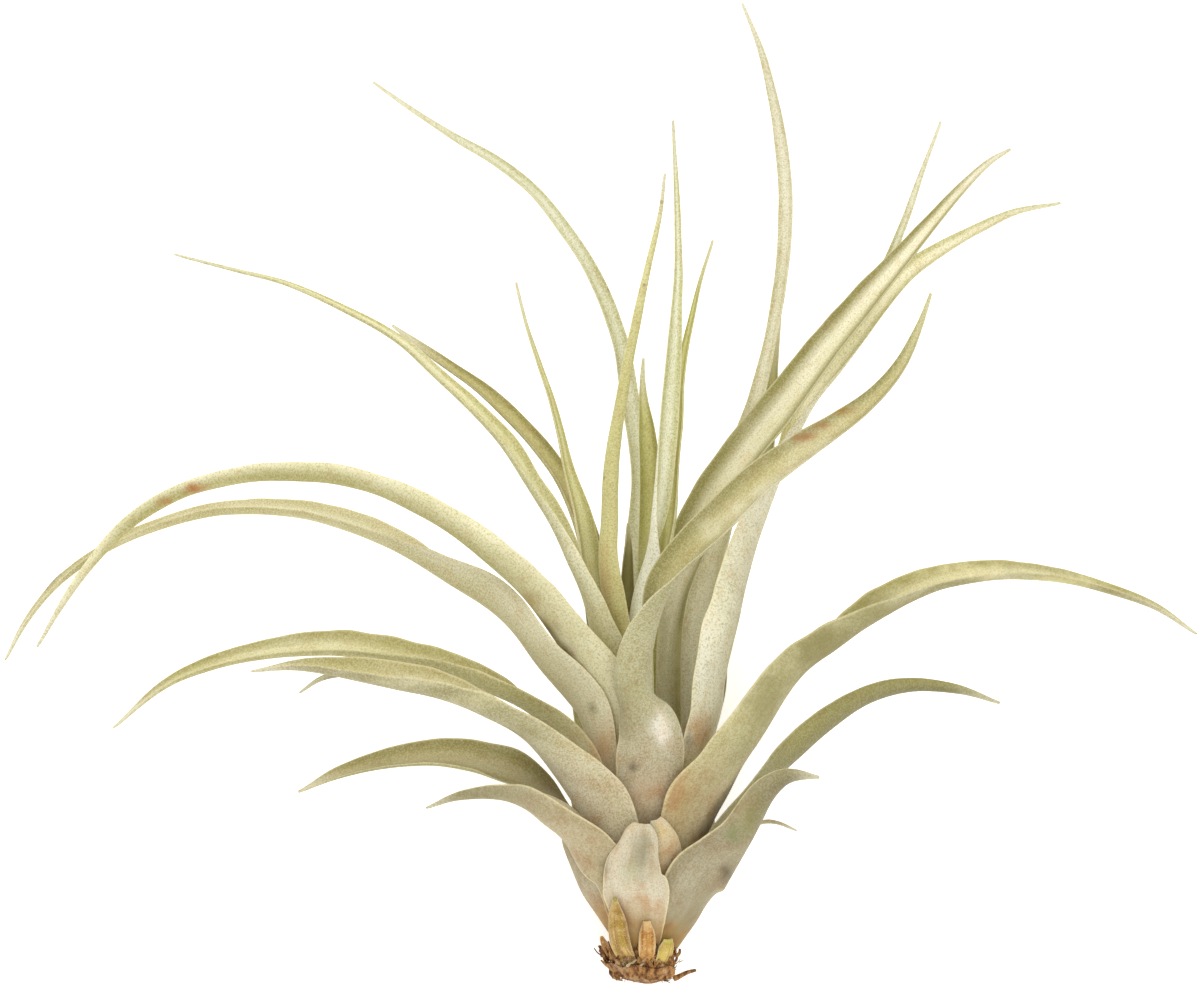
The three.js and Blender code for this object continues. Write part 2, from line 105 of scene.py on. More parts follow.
def stem_radius(height: float) -> float:
    """Gives the stem's radius.

    Args:
        height: height up the stem, in millimetres.

    Returns:
        The radius there, in millimetres.
    """
    for (y0, r0), (y1, r1) in zip(STEM, STEM[1:]):
        if height <= y1:
            return mix(r0, r1, max(0.0, (height - y0) / (y1 - y0)))
    return STEM[-1][1]


def sheathed(spot: Vector) -> float:
    """Gives how much a place belongs to the sheaths.

    Args:
        spot: the place, in the plant's axes.

    Returns:
        1 low down near the stem, 0 on the blades.
    """
    return 1 - smooth(*SHEATHS, spot.y + 0.9 * max(0.0, abs(spot.x) - 4))


def lie_down(spot: Vector) -> Vector:
    """Carries a point from the plant's own axes to the lying pose.

    Args:
        spot: the point in the plant's axes, in millimetres.

    Returns:
        The point in the object's frame, in metres, pressed flat where it would sink.
    """
    cos, sin = math.cos(math.radians(LEAN)), math.sin(math.radians(LEAN))
    y = spot.y * cos - spot.z * sin
    z = spot.y * sin + spot.z * cos - (REST_Y * sin - BACK * cos)
    return Vector((spot.x - MIDDLE[0], y - MIDDLE[1], max(0.0, z))) * MM


class SkinKind(Enum):
    """Which finish a leaf wears; the value is the record's material slot."""

    BLADE = "leaf_blade"
    INNER = "inner_leaf"
    LOW = "low_leaf"
    SCALE = "dry_scale"


def rgb(code: str) -> tuple[float, float, float, float]:
    """Turns a colour such as "c9c68f" into the linear colour a shader takes.

    Args:
        code: six hexadecimal digits.

    Returns:
        Red, green, blue and 1.
    """
    parts = [int(code[i:i + 2], 16) / 255 for i in (0, 2, 4)]
    red, green, blue = (c / 12.92 if c <= 0.04045 else ((c + 0.055) / 1.055) ** 2.4 for c in parts)
    return (red, green, blue, 1.0)


@dataclass(frozen=True)
class Dress:
    """One leaf's colours, each as six hexadecimal digits.

    Attributes:
        low: the sheath.
        lit: the back where it faces the top of the plant, a painted highlight.
        shade: the back where it faces down, painted shade.
        channel: the middle of the inner side.
        flank: the inner side near its margins.
        tip: the dry end.
    """

    low: str = "c4b397"
    lit: str = "dedab2"
    shade: str = "aea666"
    channel: str = "cfc793"
    flank: str = "aca660"
    tip: str = "dcd7bc"

    def mixed(self, parts: dict[str, float]) -> Vector:
        """Lays colours over one another.

        Args:
            parts: the name and the cover of each, from the lowest to the topmost.

        Returns:
            The linear colour.
        """
        colour = Vector(rgb(self.lit)[:3])
        for name, cover in parts.items():
            colour = colour.lerp(Vector(rgb(getattr(self, name))[:3]), cover)
        return colour


# each patch is either a leaf's own stain or tint, or painted shade, or a painted highlight
@dataclass(frozen=True)
class StainAndLight:
    """A patch of another colour, placed as seen from above the plant.

    Attributes:
        leaves: the leaves that wear it.
        spot: its middle, x and y in the plant's axes.
        size: its half sizes along x and y, in millimetres.
        colour: six hexadecimal digits.
        deep: its strength, from 0 to 1.
    """

    leaves: tuple[str, ...]
    spot: tuple[float, float]
    size: tuple[float, float]
    colour: str
    deep: float = 0.7

    def cover(self, place: Vector) -> float:
        """Gives how much the patch covers at one place, in the plant's axes, from 0 to 1."""
        near = place * 0.45
        ragged = Vector((17.0, 5.0, 9.0))
        dx = (place.x - self.spot[0]) / self.size[0] + 0.5 * noise.noise(near)
        dy = (place.y - self.spot[1]) / self.size[1] + 0.5 * noise.noise(near + ragged)
        return self.deep * math.exp(-1.6 * (dx * dx + dy * dy) ** 1.3)

    def over(self, colour: Vector, place: Vector) -> Vector:
        """Lays the patch over a colour at one place.

        Args:
            colour: the colour under it.
            place: the place, in the plant's axes.

        Returns:
            The colour with the patch.
        """
        return colour.lerp(Vector(rgb(self.colour)[:3]), self.cover(place))


@dataclass
class LeafLine:
    """A smooth curve through a leaf's points, with its widths.

    Attributes:
        spots: the points, in the plant's axes, in millimetres.
        widths: the leaf's width at each point.
        steps: how finely the length is measured.
    """

    spots: list[Vector]
    widths: list[float]
    steps: int = 400
    lengths: list[float] = field(default_factory=list)

    def __post_init__(self) -> None:
        """Measures the curve."""
        self.lengths = [0.0]
        before = self.point(0.0)
        for k in range(1, self.steps + 1):
            here = self.point(self.last * k / self.steps)
            self.lengths.append(self.lengths[-1] + (here - before).length)
            before = here

    @property
    def last(self) -> int:
        """Returns the number of the last point."""
        return len(self.spots) - 1

    def point(self, t: float) -> Vector:
        """Gives a point on the curve.

        Args:
            t: place counted in points, from 0 to last.

        Returns:
            The point, in millimetres.
        """
        i = min(self.last - 1, int(t))
        w = t - i
        p1, p2 = self.spots[i], self.spots[i + 1]
        p0 = self.spots[i - 1] if i > 0 else p1 * 2 - p2
        p3 = self.spots[i + 2] if i + 2 <= self.last else p2 * 2 - p1
        d0, d1, d2 = ((a - b).length ** 0.5 for a, b in ((p0, p1), (p1, p2), (p2, p3)))
        m1 = ((p1 - p0) / d0 - (p2 - p0) / (d0 + d1) + (p2 - p1) / d1) * d1
        m2 = ((p2 - p1) / d1 - (p3 - p1) / (d1 + d2) + (p3 - p2) / d2) * d1
        c2 = p1 * -3 + p2 * 3 - m1 * 2 - m2
        c3 = p1 * 2 - p2 * 2 + m1 + m2
        return p1 + m1 * w + c2 * (w * w) + c3 * (w * w * w)

    def place(self, u: float) -> float:
        """Turns a share of the length into a place counted in points.

        Args:
            u: share of the length, from 0 to 1.

        Returns:
            The place from 0 to last.
        """
        goal = u * self.lengths[-1]
        low, high = 0, self.steps
        while high - low > 1:
            mid = (low + high) // 2
            if self.lengths[mid] <= goal:
                low = mid
            else:
                high = mid
        span = self.lengths[high] - self.lengths[low]
        part = (goal - self.lengths[low]) / span if span > 0 else 0.0
        return self.last * (low + min(1.0, part)) / self.steps

    def along(self, t: float) -> Vector:
        """Returns the curve's direction at t."""
        step = 1e-4 * self.last
        a, b = max(0.0, t - step), min(float(self.last), t + step)
        return (self.point(b) - self.point(a)).normalized()

    def width(self, t: float) -> float:
        """Returns the leaf's width at t, eased so that its margins have no corners."""
        i = min(self.last - 1, int(t))
        w = t - i
        near = self.widths[max(0, i - 1)], self.widths[min(self.last, i + 2)]
        a, b = self.widths[i], self.widths[i + 1]
        m1, m2 = (b - near[0]) / 2, (near[1] - a) / 2
        curve = a + m1 * w + (-3 * a + 3 * b - 2 * m1 - m2) * w * w
        curve += (2 * a - 2 * b + m1 + m2) * w ** 3
        return min(max(a, b) * 1.03, max(min(a, b), curve))


@dataclass
class Station:
    """The skin's place and shape at one spot along a leaf.

    Attributes:
        u: share of the leaf's length.
        t: place counted in points of its path.
        point: the spot on the curve.
        along: the curve's direction.
        across: the way the inner side looks before the leaf turns.
        width: the leaf's width.
        free: 0 on the sheath, 1 on the free blade.
        normal: the way the inner side looks.
        side: the way across the leaf.
        bend: radius of the section's curve.
        half: half of the angle it spans.
        deep: thickness.
    """

    u: float
    t: float
    point: Vector
    along: Vector
    across: Vector
    width: float
    free: float = 0.0
    normal: Vector = field(default_factory=Vector)
    side: Vector = field(default_factory=Vector)
    bend: float = 0.0
    half: float = 0.0
    deep: float = 0.0


class SkinLayers:
    """The values that a leaf's finish reads from its skin."""

    def __init__(self, bm: bmesh.types.BMesh) -> None:
        """Makes the layers on a mesh.

        Args:
            bm: the mesh being built.
        """
        make = bm.verts.layers.float_vector.new
        self.skin = make("skin")
        self.place = make("place")
        self.tone = make("tone")
        self.hue = make("hue")


class Ring:
    """A ring of vertices that is extruded again and again into a skin."""

    def __init__(self, bm: bmesh.types.BMesh, sides: int) -> None:
        """Starts the ring.

        Args:
            bm: the mesh being built.
            sides: how many vertices it has.
        """
        self.bm = bm
        born = bmesh.ops.create_circle(bm, cap_ends=False, segments=sides, radius=1.0)
        self.verts: list[bmesh.types.BMVert] = list(born["verts"])
        self.circle = [(v.co.x, v.co.y) for v in self.verts]

    def edges(self) -> list[bmesh.types.BMEdge]:
        """Returns the edges that join the ring's neighbours."""
        pairs = zip(self.verts, self.verts[1:] + self.verts[:1])
        return [next(e for e in a.link_edges if e.other_vert(a) is b) for a, b in pairs]

    def grow(self) -> None:
        """Extrudes the ring, and takes the new vertices in the order of the old ones."""
        grown = bmesh.ops.extrude_edge_only(self.bm, edges=self.edges())["geom"]
        fresh = {g for g in grown if isinstance(g, bmesh.types.BMVert)}
        self.verts = [next(e.other_vert(v) for e in v.link_edges if e.other_vert(v) in fresh)
                      for v in self.verts]


@dataclass
class Leaf:
    """One leaf: a closed skin from a sheath round the stem to the tip.

    Attributes:
        name: the solid that this leaf stands for.
        foot: height at which it leaves the stem.
        path: x, y, z and width at each point; the first is the top of the sheath.
        face: the way the inner side looks at the blade's middle.
        begin: where along the leaf it starts to turn that way.
        turn: where along the leaf it looks that way.
        thick: thickness of the blade's middle.
        sheath: thickness of the sheath.
        hold: degrees each side of the keel that the foot wraps.
        gutter: degrees each side of the keel in the free blade.
        fold: the gutter before the turn, where a leaf is rolled closer.
        skin: its finish.
        dress: its colours.
        frost: how thick its scurf is, from 0 to 1.
    """

    name: str
    foot: float
    path: tuple[PathPoint, ...]
    face: Point | None = None
    begin: float = 0.1
    turn: float = 0.55
    thick: float = 1.25
    sheath: float = 0.8
    hold: float = 46.0
    gutter: float = 72.0
    fold: float | None = None
    skin: SkinKind = SkinKind.BLADE
    dress: Dress = Dress()
    frost: float = 0.5

    SIDES = 24  # of the section
    TIP_THICK = 0.65  # thickness at the tip

    def line(self) -> tuple[LeafLine, Vector]:
        """Lays the curve from the foot through the path.

        Returns:
            The curve, and the horizontal direction in which the leaf grows.
        """
        top = self.path[0]
        out = Vector((top[0], 0, top[2]))
        reach = out.length
        out.normalize()
        radius = stem_radius(self.foot) + GAP + FACET + self.sheath / 2
        wide = 2 * math.radians(self.hold) * radius
        start = out * radius + Vector((0, self.foot, 0))
        shoulder = out * mix(radius, reach, 0.5) + Vector((0, mix(self.foot, top[1], 0.5), 0))
        spots = [start, shoulder] + [Vector(p[:3]) for p in self.path]
        widths = [wide, mix(wide, top[3], 0.6)] + [p[3] for p in self.path]
        return LeafLine(spots, widths), out

    def build(self) -> bpy.types.Object:
        """Sweeps the section along the curve.

        Returns:
            The finished leaf, dressed and named.
        """
        line, out = self.line()
        length = line.lengths[-1]
        count = max(26, min(120, round(length / 1.5)))
        seed = sum(ord(c) * (i + 3) for i, c in enumerate(self.name)) % 997
        bm = bmesh.new()
        layers = SkinLayers(bm)
        ring = Ring(bm, self.SIDES)
        for k, station in enumerate(self.stations(line, out, count)):
            if k:
                ring.grow()
            self.shape(ring, station, length, seed, layers)
        ends = [e for e in bm.edges if e.is_boundary]
        caps = bmesh.ops.holes_fill(bm, edges=ends, sides=0)["faces"]
        bmesh.ops.triangulate(bm, faces=caps, ngon_method="EAR_CLIP")
        bmesh.ops.recalc_face_normals(bm, faces=bm.faces[:])
        return finish_piece(bm, self.name, self.skin)

    def stations(self, line: LeafLine, out: Vector, count: int) -> list[Station]:
        """Works out the skin's place, frame and bend along the curve.

        Args:
            line: the leaf's curve.
            out: the horizontal direction in which the leaf grows.
            count: how many stations.

        Returns:
            The stations, from foot to tip.
        """
        found: list[Station] = []
        across = -out
        for k in range(count):
            u = k / (count - 1)
            t = line.place(u)
            along = line.along(t)
            across = (across - along * across.dot(along)).normalized()
            found.append(Station(u, t, line.point(t), along, across.copy(), line.width(t)))
        twist = 0.0
        if self.face:
            mid = found[round(self.turn * (count - 1))]
            aim = Vector(self.face)
            aim = (aim - mid.along * aim.dot(mid.along)).normalized()
            twist = math.atan2(mid.across.cross(aim).dot(mid.along), mid.across.dot(aim))
        first = self.gutter if self.fold is None else self.fold
        for s in found:
            inward = Vector((-s.point.x, 0, -s.point.z)).normalized()
            s.free = smooth(1.8, 4.2, s.t)
            turned = Matrix.Rotation(twist * smooth(self.begin, self.turn, s.u), 3, s.along)
            s.normal = (turned @ s.across).lerp(inward, 1 - s.free).normalized()
            s.side = s.along.cross(s.normal).normalized()
            hug = math.hypot(s.point.x, s.point.z)
            later = smooth(self.turn - 0.08, self.turn + 0.08, s.u)
            roll = math.radians(mix(first, self.gutter, later))
            s.bend = mix(hug, s.width / 2 / roll, smooth(1.7, 4.4, s.t))
            s.half = min(roll, s.width / 2 / s.bend)
            full = mix(self.sheath, self.thick, s.free)
            s.deep = min(full, mix(full, self.TIP_THICK, smooth(0.55, 0.98, s.u)))
        return found

    def shape(self, ring: Ring, s: Station, length: float, seed: int,
              layers: SkinLayers) -> None:
        """Bends a round ring into the leaf's section at one station.

        Each vertex's place on the round ring gives its share across the leaf, and its lift.

        Args:
            ring: the ring.
            s: the station.
            length: the leaf's length.
            seed: the leaf's own number, for its irregularities.
            layers: where the skin's values are kept.
        """
        travel = s.u * length
        fade = smooth(0.0, 0.12, s.u) * (1 - smooth(0.9, 1.0, s.u))
        sink = s.free * s.bend * (1 - math.cos(s.half)) / 2
        centre = s.point + s.normal * (s.bend - sink)
        end = 0.45 if s.u >= 1 else 1.0
        patches = [stain_and_light for stain_and_light in STAINS_AND_LIGHT if self.name in stain_and_light.leaves]
        for vert, (share, lift) in zip(ring.verts, ring.circle):
            wave = noise.noise(Vector((travel / 9, share * 1.2, seed * 1.7)))
            edge = noise.noise(Vector((travel / 5, 2.0 * (share > 0), seed * 0.9 + 40)))
            angle = s.half * share * (1 + fade * 0.06 * edge * abs(share))
            slim = 1 - 0.55 * share * share
            radius = s.bend + lift * slim * end * s.deep / 2 + fade * 0.16 * wave
            away = s.normal * -math.cos(angle) + s.side * math.sin(angle)
            spot = centre + away * radius
            vert.co = lie_down(spot)
            skin = (angle * s.bend * MM, travel * MM, seed * 0.0137 + (0.3 if lift < 0 else 0))
            low = sheathed(spot)
            vert[layers.skin] = Vector(skin)
            vert[layers.place] = Vector((s.u, share, low))
            bare = max((patch.cover(spot) for patch in patches), default=0.0)
            frost = self.frost * smooth(7, 19, spot.y) * (1 - 0.9 * bare)
            vert[layers.tone] = Vector((0.5 - 0.5 * lift, frost, 0))
            vert[layers.hue] = self.hue_at(s, spot, away, (share, lift), low)

    def hue_at(self, s: Station, spot: Vector, away: Vector, place: tuple[float, float],
               low: float) -> Vector:
        """Works out the leaf's colour at one place.

        Args:
            s: the station.
            spot: the place, in the plant's axes.
            away: the way the back of the leaf looks there.
            place: share across, and lift.
            low: how far down the plant it is, from 0 to 1.

        Returns:
            The linear colour.
        """
        share, lift = place
        inside = smooth(-0.25, 0.25, -lift)
        colour = self.dress.mixed({
            # painted light: the back is the lit colour where it faces the top of the plant and
            # painted shade where it faces down
            "shade": smooth(0.2, -0.8, away.y),
            "channel": inside,
            "flank": inside * smooth(0.2, 0.75, abs(share)),
            "low": low * (0.9 if self.skin is not SkinKind.SCALE else 0.0),
            "tip": 0.8 * smooth(0.86, 1.0, s.u)})
        if self.skin is not SkinKind.SCALE:
            torn = 3.0 * noise.noise(Vector((spot.x * 1.1, spot.y * 0.2, 7.0)))
            upper = mix(*DRIED_TOP, smooth(0.0, 7.0, spot.x))
            dried = 0.9 * (1 - smooth(upper - DRIED_EASE, upper, spot.y + torn))
            colour = colour.lerp(Vector(rgb(DRIED)[:3]), dried)
        for stain_and_light in STAINS_AND_LIGHT:
            if self.name in stain_and_light.leaves:
                colour = stain_and_light.over(colour, spot)
        return colour


def finish_piece(bm: bmesh.types.BMesh, name: str, skin: SkinKind | str,
                 standing: bool = True, rounds: int = 1) -> bpy.types.Object:
    """Turns a built mesh into a dressed piece that rides on the plant.

    Args:
        bm: the mesh, in metres, in the object's frame.
        name: the piece's name, and its solid's.
        skin: its finish, or the material slot it takes.
        standing: whether it stands for a solid of that name.
        rounds: rounds of subdivision.

    Returns:
        The piece.
    """
    mesh = bpy.data.meshes.new(name)
    for face in bm.faces:
        face.smooth = True
    bm.to_mesh(mesh)
    bm.free()
    piece = bpy.data.objects.new("skin_" + name if standing else name, mesh)
    bpy.context.scene.collection.objects.link(piece)
    if rounds:
        soft = piece.modifiers.new("round", "SUBSURF")
        soft.levels = soft.render_levels = rounds
    slot = skin.value if isinstance(skin, SkinKind) else skin
    mesh.materials.append(Finishes.of(slot))
    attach(piece, "root")
    if standing:
        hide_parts(name)
    return piece


class Graph:
    """A short way to lay out a material's nodes."""

    def __init__(self, name: str, rough: float, sheen: float = 0.0) -> None:
        """Starts a material with one principled shader.

        Args:
            name: the material's name.
            rough: its roughness.
            sheen: its soft edge glow.
        """
        self.material = bpy.data.materials.new(name)
        self.material.use_nodes = True
        self.tree = self.material.node_tree
        self.shader = self.tree.nodes["Principled BSDF"]
        self.shader.inputs["Roughness"].default_value = rough
        self.shader.inputs["Sheen Weight"].default_value = sheen
        self.shader.inputs["Sheen Roughness"].default_value = 0.6
        self.shader.inputs["Specular IOR Level"].default_value = 0.3

    def put(self, target: bpy.types.NodeSocket, value: object) -> None:
        """Links a socket to target, or sets target to a plain value."""
        if isinstance(value, bpy.types.NodeSocket):
            self.tree.links.new(value, target)
        else:
            target.default_value = value

    def attribute(self, name: str) -> bpy.types.NodeSocket:
        """Returns the vector of one of the skin's attributes."""
        node = self.tree.nodes.new("ShaderNodeAttribute")
        node.attribute_name = name
        return node.outputs["Vector"]

    def objects(self) -> bpy.types.NodeSocket:
        """Returns the place on the object, in metres."""
        return self.tree.nodes.new("ShaderNodeTexCoord").outputs["Object"]

    def split(self, vector: bpy.types.NodeSocket) -> tuple[bpy.types.NodeSocket, ...]:
        """Returns a vector's three numbers."""
        node = self.tree.nodes.new("ShaderNodeSeparateXYZ")
        self.put(node.inputs[0], vector)
        return tuple(node.outputs)

    def scaled(self, vector: bpy.types.NodeSocket, by: Point) -> bpy.types.NodeSocket:
        """Returns a vector with its parts multiplied."""
        node = self.tree.nodes.new("ShaderNodeVectorMath")
        node.operation = "MULTIPLY"
        self.put(node.inputs[0], vector)
        node.inputs[1].default_value = by
        return node.outputs[0]

    def math(self, operation: str, a: object, b: object = 0.0,
             clamp: bool = False) -> bpy.types.NodeSocket:
        """Returns a sum, product or other result of two numbers."""
        node = self.tree.nodes.new("ShaderNodeMath")
        node.operation = operation
        node.use_clamp = clamp
        self.put(node.inputs[0], a)
        self.put(node.inputs[1], b)
        return node.outputs[0]

    def ease(self, value: object, low: float, high: float, start: float = 0.0,
             stop: float = 1.0) -> bpy.types.NodeSocket:
        """Maps low..high smoothly to start..stop.

        Args:
            value: the number to map.
            low: where the easing starts.
            high: where it ends.
            start: the result at low.
            stop: the result at high.

        Returns:
            The mapped number.
        """
        node = self.tree.nodes.new("ShaderNodeMapRange")
        node.interpolation_type = "SMOOTHSTEP"
        self.put(node.inputs["Value"], value)
        for key, number in zip(("From Min", "From Max", "To Min", "To Max"),
                               (low, high, start, stop)):
            node.inputs[key].default_value = number
        return node.outputs["Result"]

    def noise(self, vector: bpy.types.NodeSocket, scale: float, detail: float = 2.0,
              rough: float = 0.5) -> bpy.types.NodeSocket:
        """Returns a noise from 0 to 1, with cells 1/scale metres across."""
        node = self.tree.nodes.new("ShaderNodeTexNoise")
        self.put(node.inputs["Vector"], vector)
        node.inputs["Scale"].default_value = scale
        node.inputs["Detail"].default_value = detail
        node.inputs["Roughness"].default_value = rough
        return node.outputs["Fac"]

    def cells(self, vector: bpy.types.NodeSocket, scale: float) -> bpy.types.NodeSocket:
        """Returns the distance to the nearest of scattered points, in cells."""
        node = self.tree.nodes.new("ShaderNodeTexVoronoi")
        self.put(node.inputs["Vector"], vector)
        node.inputs["Scale"].default_value = scale
        return node.outputs["Distance"]

    def blend(self, share: object, a: object, b: object,
              kind: str = "MIX") -> bpy.types.NodeSocket:
        """Mixes two colours.

        Args:
            share: how much of b, from 0 to 1.
            a: the first colour.
            b: the second colour.
            kind: how they are mixed.

        Returns:
            The mixed colour.
        """
        node = self.tree.nodes.new("ShaderNodeMix")
        node.data_type = "RGBA"
        node.blend_type = kind
        self.put(node.inputs[0], share)
        self.put(node.inputs[6], rgb(a) if isinstance(a, str) else a)
        self.put(node.inputs[7], rgb(b) if isinstance(b, str) else b)
        return node.outputs[2]

    def relief(self, height: bpy.types.NodeSocket, strength: float, deep: float) -> None:
        """Adds a bump.

        Args:
            height: the height, from 0 to 1.
            strength: how strongly it shows.
            deep: its depth, in metres.
        """
        node = self.tree.nodes.new("ShaderNodeBump")
        node.inputs["Strength"].default_value = strength
        node.inputs["Distance"].default_value = deep
        self.put(node.inputs["Height"], height)
        self.tree.links.new(node.outputs["Normal"], self.shader.inputs["Normal"])


@dataclass(frozen=True)
class LeafFinish:
    """A leaf's skin: its own colours under silvery scurf, with pale margins.

    Attributes:
        slot: the record's material slot.
        scurf: colour of the scurf.
        cover: how much the scurf covers, from 0 to 1.
        rim: how pale the margins are, from 0 to 1.
    """

    slot: str
    scurf: str = "f0ecda"
    cover: float = 0.62
    rim: float = 0.5

    def make(self) -> bpy.types.Material:
        """Lays out the finish.

        Returns:
            The material.
        """
        g = Graph(self.slot, 0.74, sheen=0.1)
        skin = g.attribute("skin")
        _, share, low = g.split(g.attribute("place"))
        inside, frost, _ = g.split(g.attribute("tone"))
        broad = g.noise(g.scaled(skin, (1, 0.3, 1)), 110, 3, 0.55)
        mottle = g.noise(g.scaled(skin, (1, 0.6, 1)), 420, 3, 0.6)
        veins = g.noise(g.scaled(skin, (1, 0.03, 1)), 2100, 2, 0.5)
        grain = g.noise(skin, 2500, 3, 0.75)
        fine = g.noise(skin, 5200, 2, 0.6)

        # the hue carries each leaf's colours together with its painted highlights and painted
        # shade
        colour = g.blend(g.ease(broad, 0.4, 0.72, 0.0, 0.5), g.attribute("hue"), "dcdcae",
                         "MULTIPLY")
        colour = g.blend(g.ease(broad, 0.5, 0.28, 0.0, 0.22), colour, "e9e4c8")
        colour = g.blend(g.ease(mottle, 0.48, 0.74, 0.0, 0.5), colour, "ecd6b0", "MULTIPLY")
        patch = g.math("MULTIPLY", g.ease(g.noise(skin, 260, 2, 0.5), 0.45, 0.7), low)
        colour = g.blend(g.math("MULTIPLY", patch, 0.6), colour, "e6bd94", "MULTIPLY")
        colour = g.blend(g.ease(veins, 0.32, 0.62, 0.12, 0.0), colour, "b9b27c", "MULTIPLY")
        margin = g.ease(g.math("ABSOLUTE", share), 0.9, 0.985, 0.0, self.rim)
        colour = g.blend(margin, colour, "e6d9a6")

        silver = g.math("ADD", g.math("MULTIPLY", grain, 0.6), g.math("MULTIPLY", fine, 0.4))
        thick = g.ease(g.math("SUBTRACT", silver, g.math("MULTIPLY", inside, 0.03)), 0.44, 0.58)
        cover = g.math("MULTIPLY", g.math("MULTIPLY", thick, self.cover), frost)
        colour = g.blend(cover, colour, self.scurf)
        colour = g.blend(g.ease(silver, 0.5, 0.39, 0.0, 0.5), colour, "8f8558")

        specks = g.ease(g.cells(g.scaled(skin, (1, 0.6, 1)), 300), 0.11, 0.04)
        specks = g.math("MULTIPLY", specks, g.ease(mottle, 0.54, 0.62))
        colour = g.blend(g.math("MULTIPLY", specks, 0.55), colour, "6f5f38")
        g.put(g.shader.inputs["Base Color"], colour)
        g.relief(g.math("ADD", g.math("MULTIPLY", veins, 0.2), silver), 0.5, 0.0001)
        return g.material


@dataclass(frozen=True)
class DryFinish:
    """Papery old leaf bases, with fibres along them.

    Attributes:
        slot: the record's material slot.
        fibre: colour of the fibres.
    """

    slot: str = "dry_scale"
    fibre: str = "7c4d1e"

    def make(self) -> bpy.types.Material:
        """Lays out the finish.

        Returns:
            The material.
        """
        g = Graph(self.slot, 0.8)
        skin = g.attribute("skin")
        _, share, _ = g.split(g.attribute("place"))
        fibre = g.noise(g.scaled(skin, (1, 0.06, 1)), 1500, 3, 0.6)
        broad = g.noise(skin, 320, 3, 0.6)
        grain = g.noise(skin, 3000, 2, 0.6)
        colour = g.blend(g.ease(broad, 0.4, 0.65, 0.0, 0.45), g.attribute("hue"), "e3c184")
        rim = g.ease(g.math("ABSOLUTE", share), 0.7, 1.0, 0.0, 0.4)
        colour = g.blend(rim, colour, "e9d9b0")
        colour = g.blend(g.ease(fibre, 0.55, 0.35, 0.0, 0.6), colour, self.fibre)
        colour = g.blend(g.ease(grain, 0.5, 0.7, 0.0, 0.3), colour, "efe4c4")
        g.put(g.shader.inputs["Base Color"], colour)
        g.relief(g.math("ADD", fibre, g.math("MULTIPLY", grain, 0.4)), 0.6, 0.0002)
        return g.material


@dataclass(frozen=True)
class WoodyFinish:
    """Torn root tissue: brown fibres with ochre and pale ends."""

    slot: str
    dark: str = "5e3719"
    light: str = "c08c50"

    def make(self) -> bpy.types.Material:
        """Lays out the finish.

        Returns:
            The material.
        """
        g = Graph(self.slot, 0.85)
        spot = g.objects()
        fibre = g.noise(g.scaled(spot, (1, 0.2, 0.4)), 1300, 4, 0.65)
        broad = g.noise(spot, 260, 3, 0.6)
        grain = g.noise(spot, 3600, 2, 0.6)
        colour = g.blend(g.ease(fibre, 0.35, 0.65), self.dark, self.light)
        colour = g.blend(g.ease(broad, 0.5, 0.7, 0.0, 0.6), colour, "d8b88c")
        colour = g.blend(g.ease(grain, 0.6, 0.4, 0.0, 0.35), colour, "4a2c14")
        g.put(g.shader.inputs["Base Color"], colour)
        g.relief(g.math("ADD", fibre, grain), 0.8, 0.0003)
        return g.material


class Finishes:
    """Makes each finish once."""

    made: dict[str, bpy.types.Material] = {}
    known = (
        LeafFinish("leaf_blade"),
        LeafFinish("inner_leaf", cover=0.4),
        LeafFinish("low_leaf", scurf="e9e2d0", cover=0.56, rim=0.65),
        DryFinish(),
        WoodyFinish("root"),
        WoodyFinish("stem", dark="b9a878", light="ded0a8"),
    )

    @classmethod
    def of(cls, slot: str) -> bpy.types.Material:
        """Returns the material of one of the record's slots."""
        if slot not in cls.made:
            cls.made[slot] = next(f for f in cls.known if f.slot == slot).make()
        return cls.made[slot]


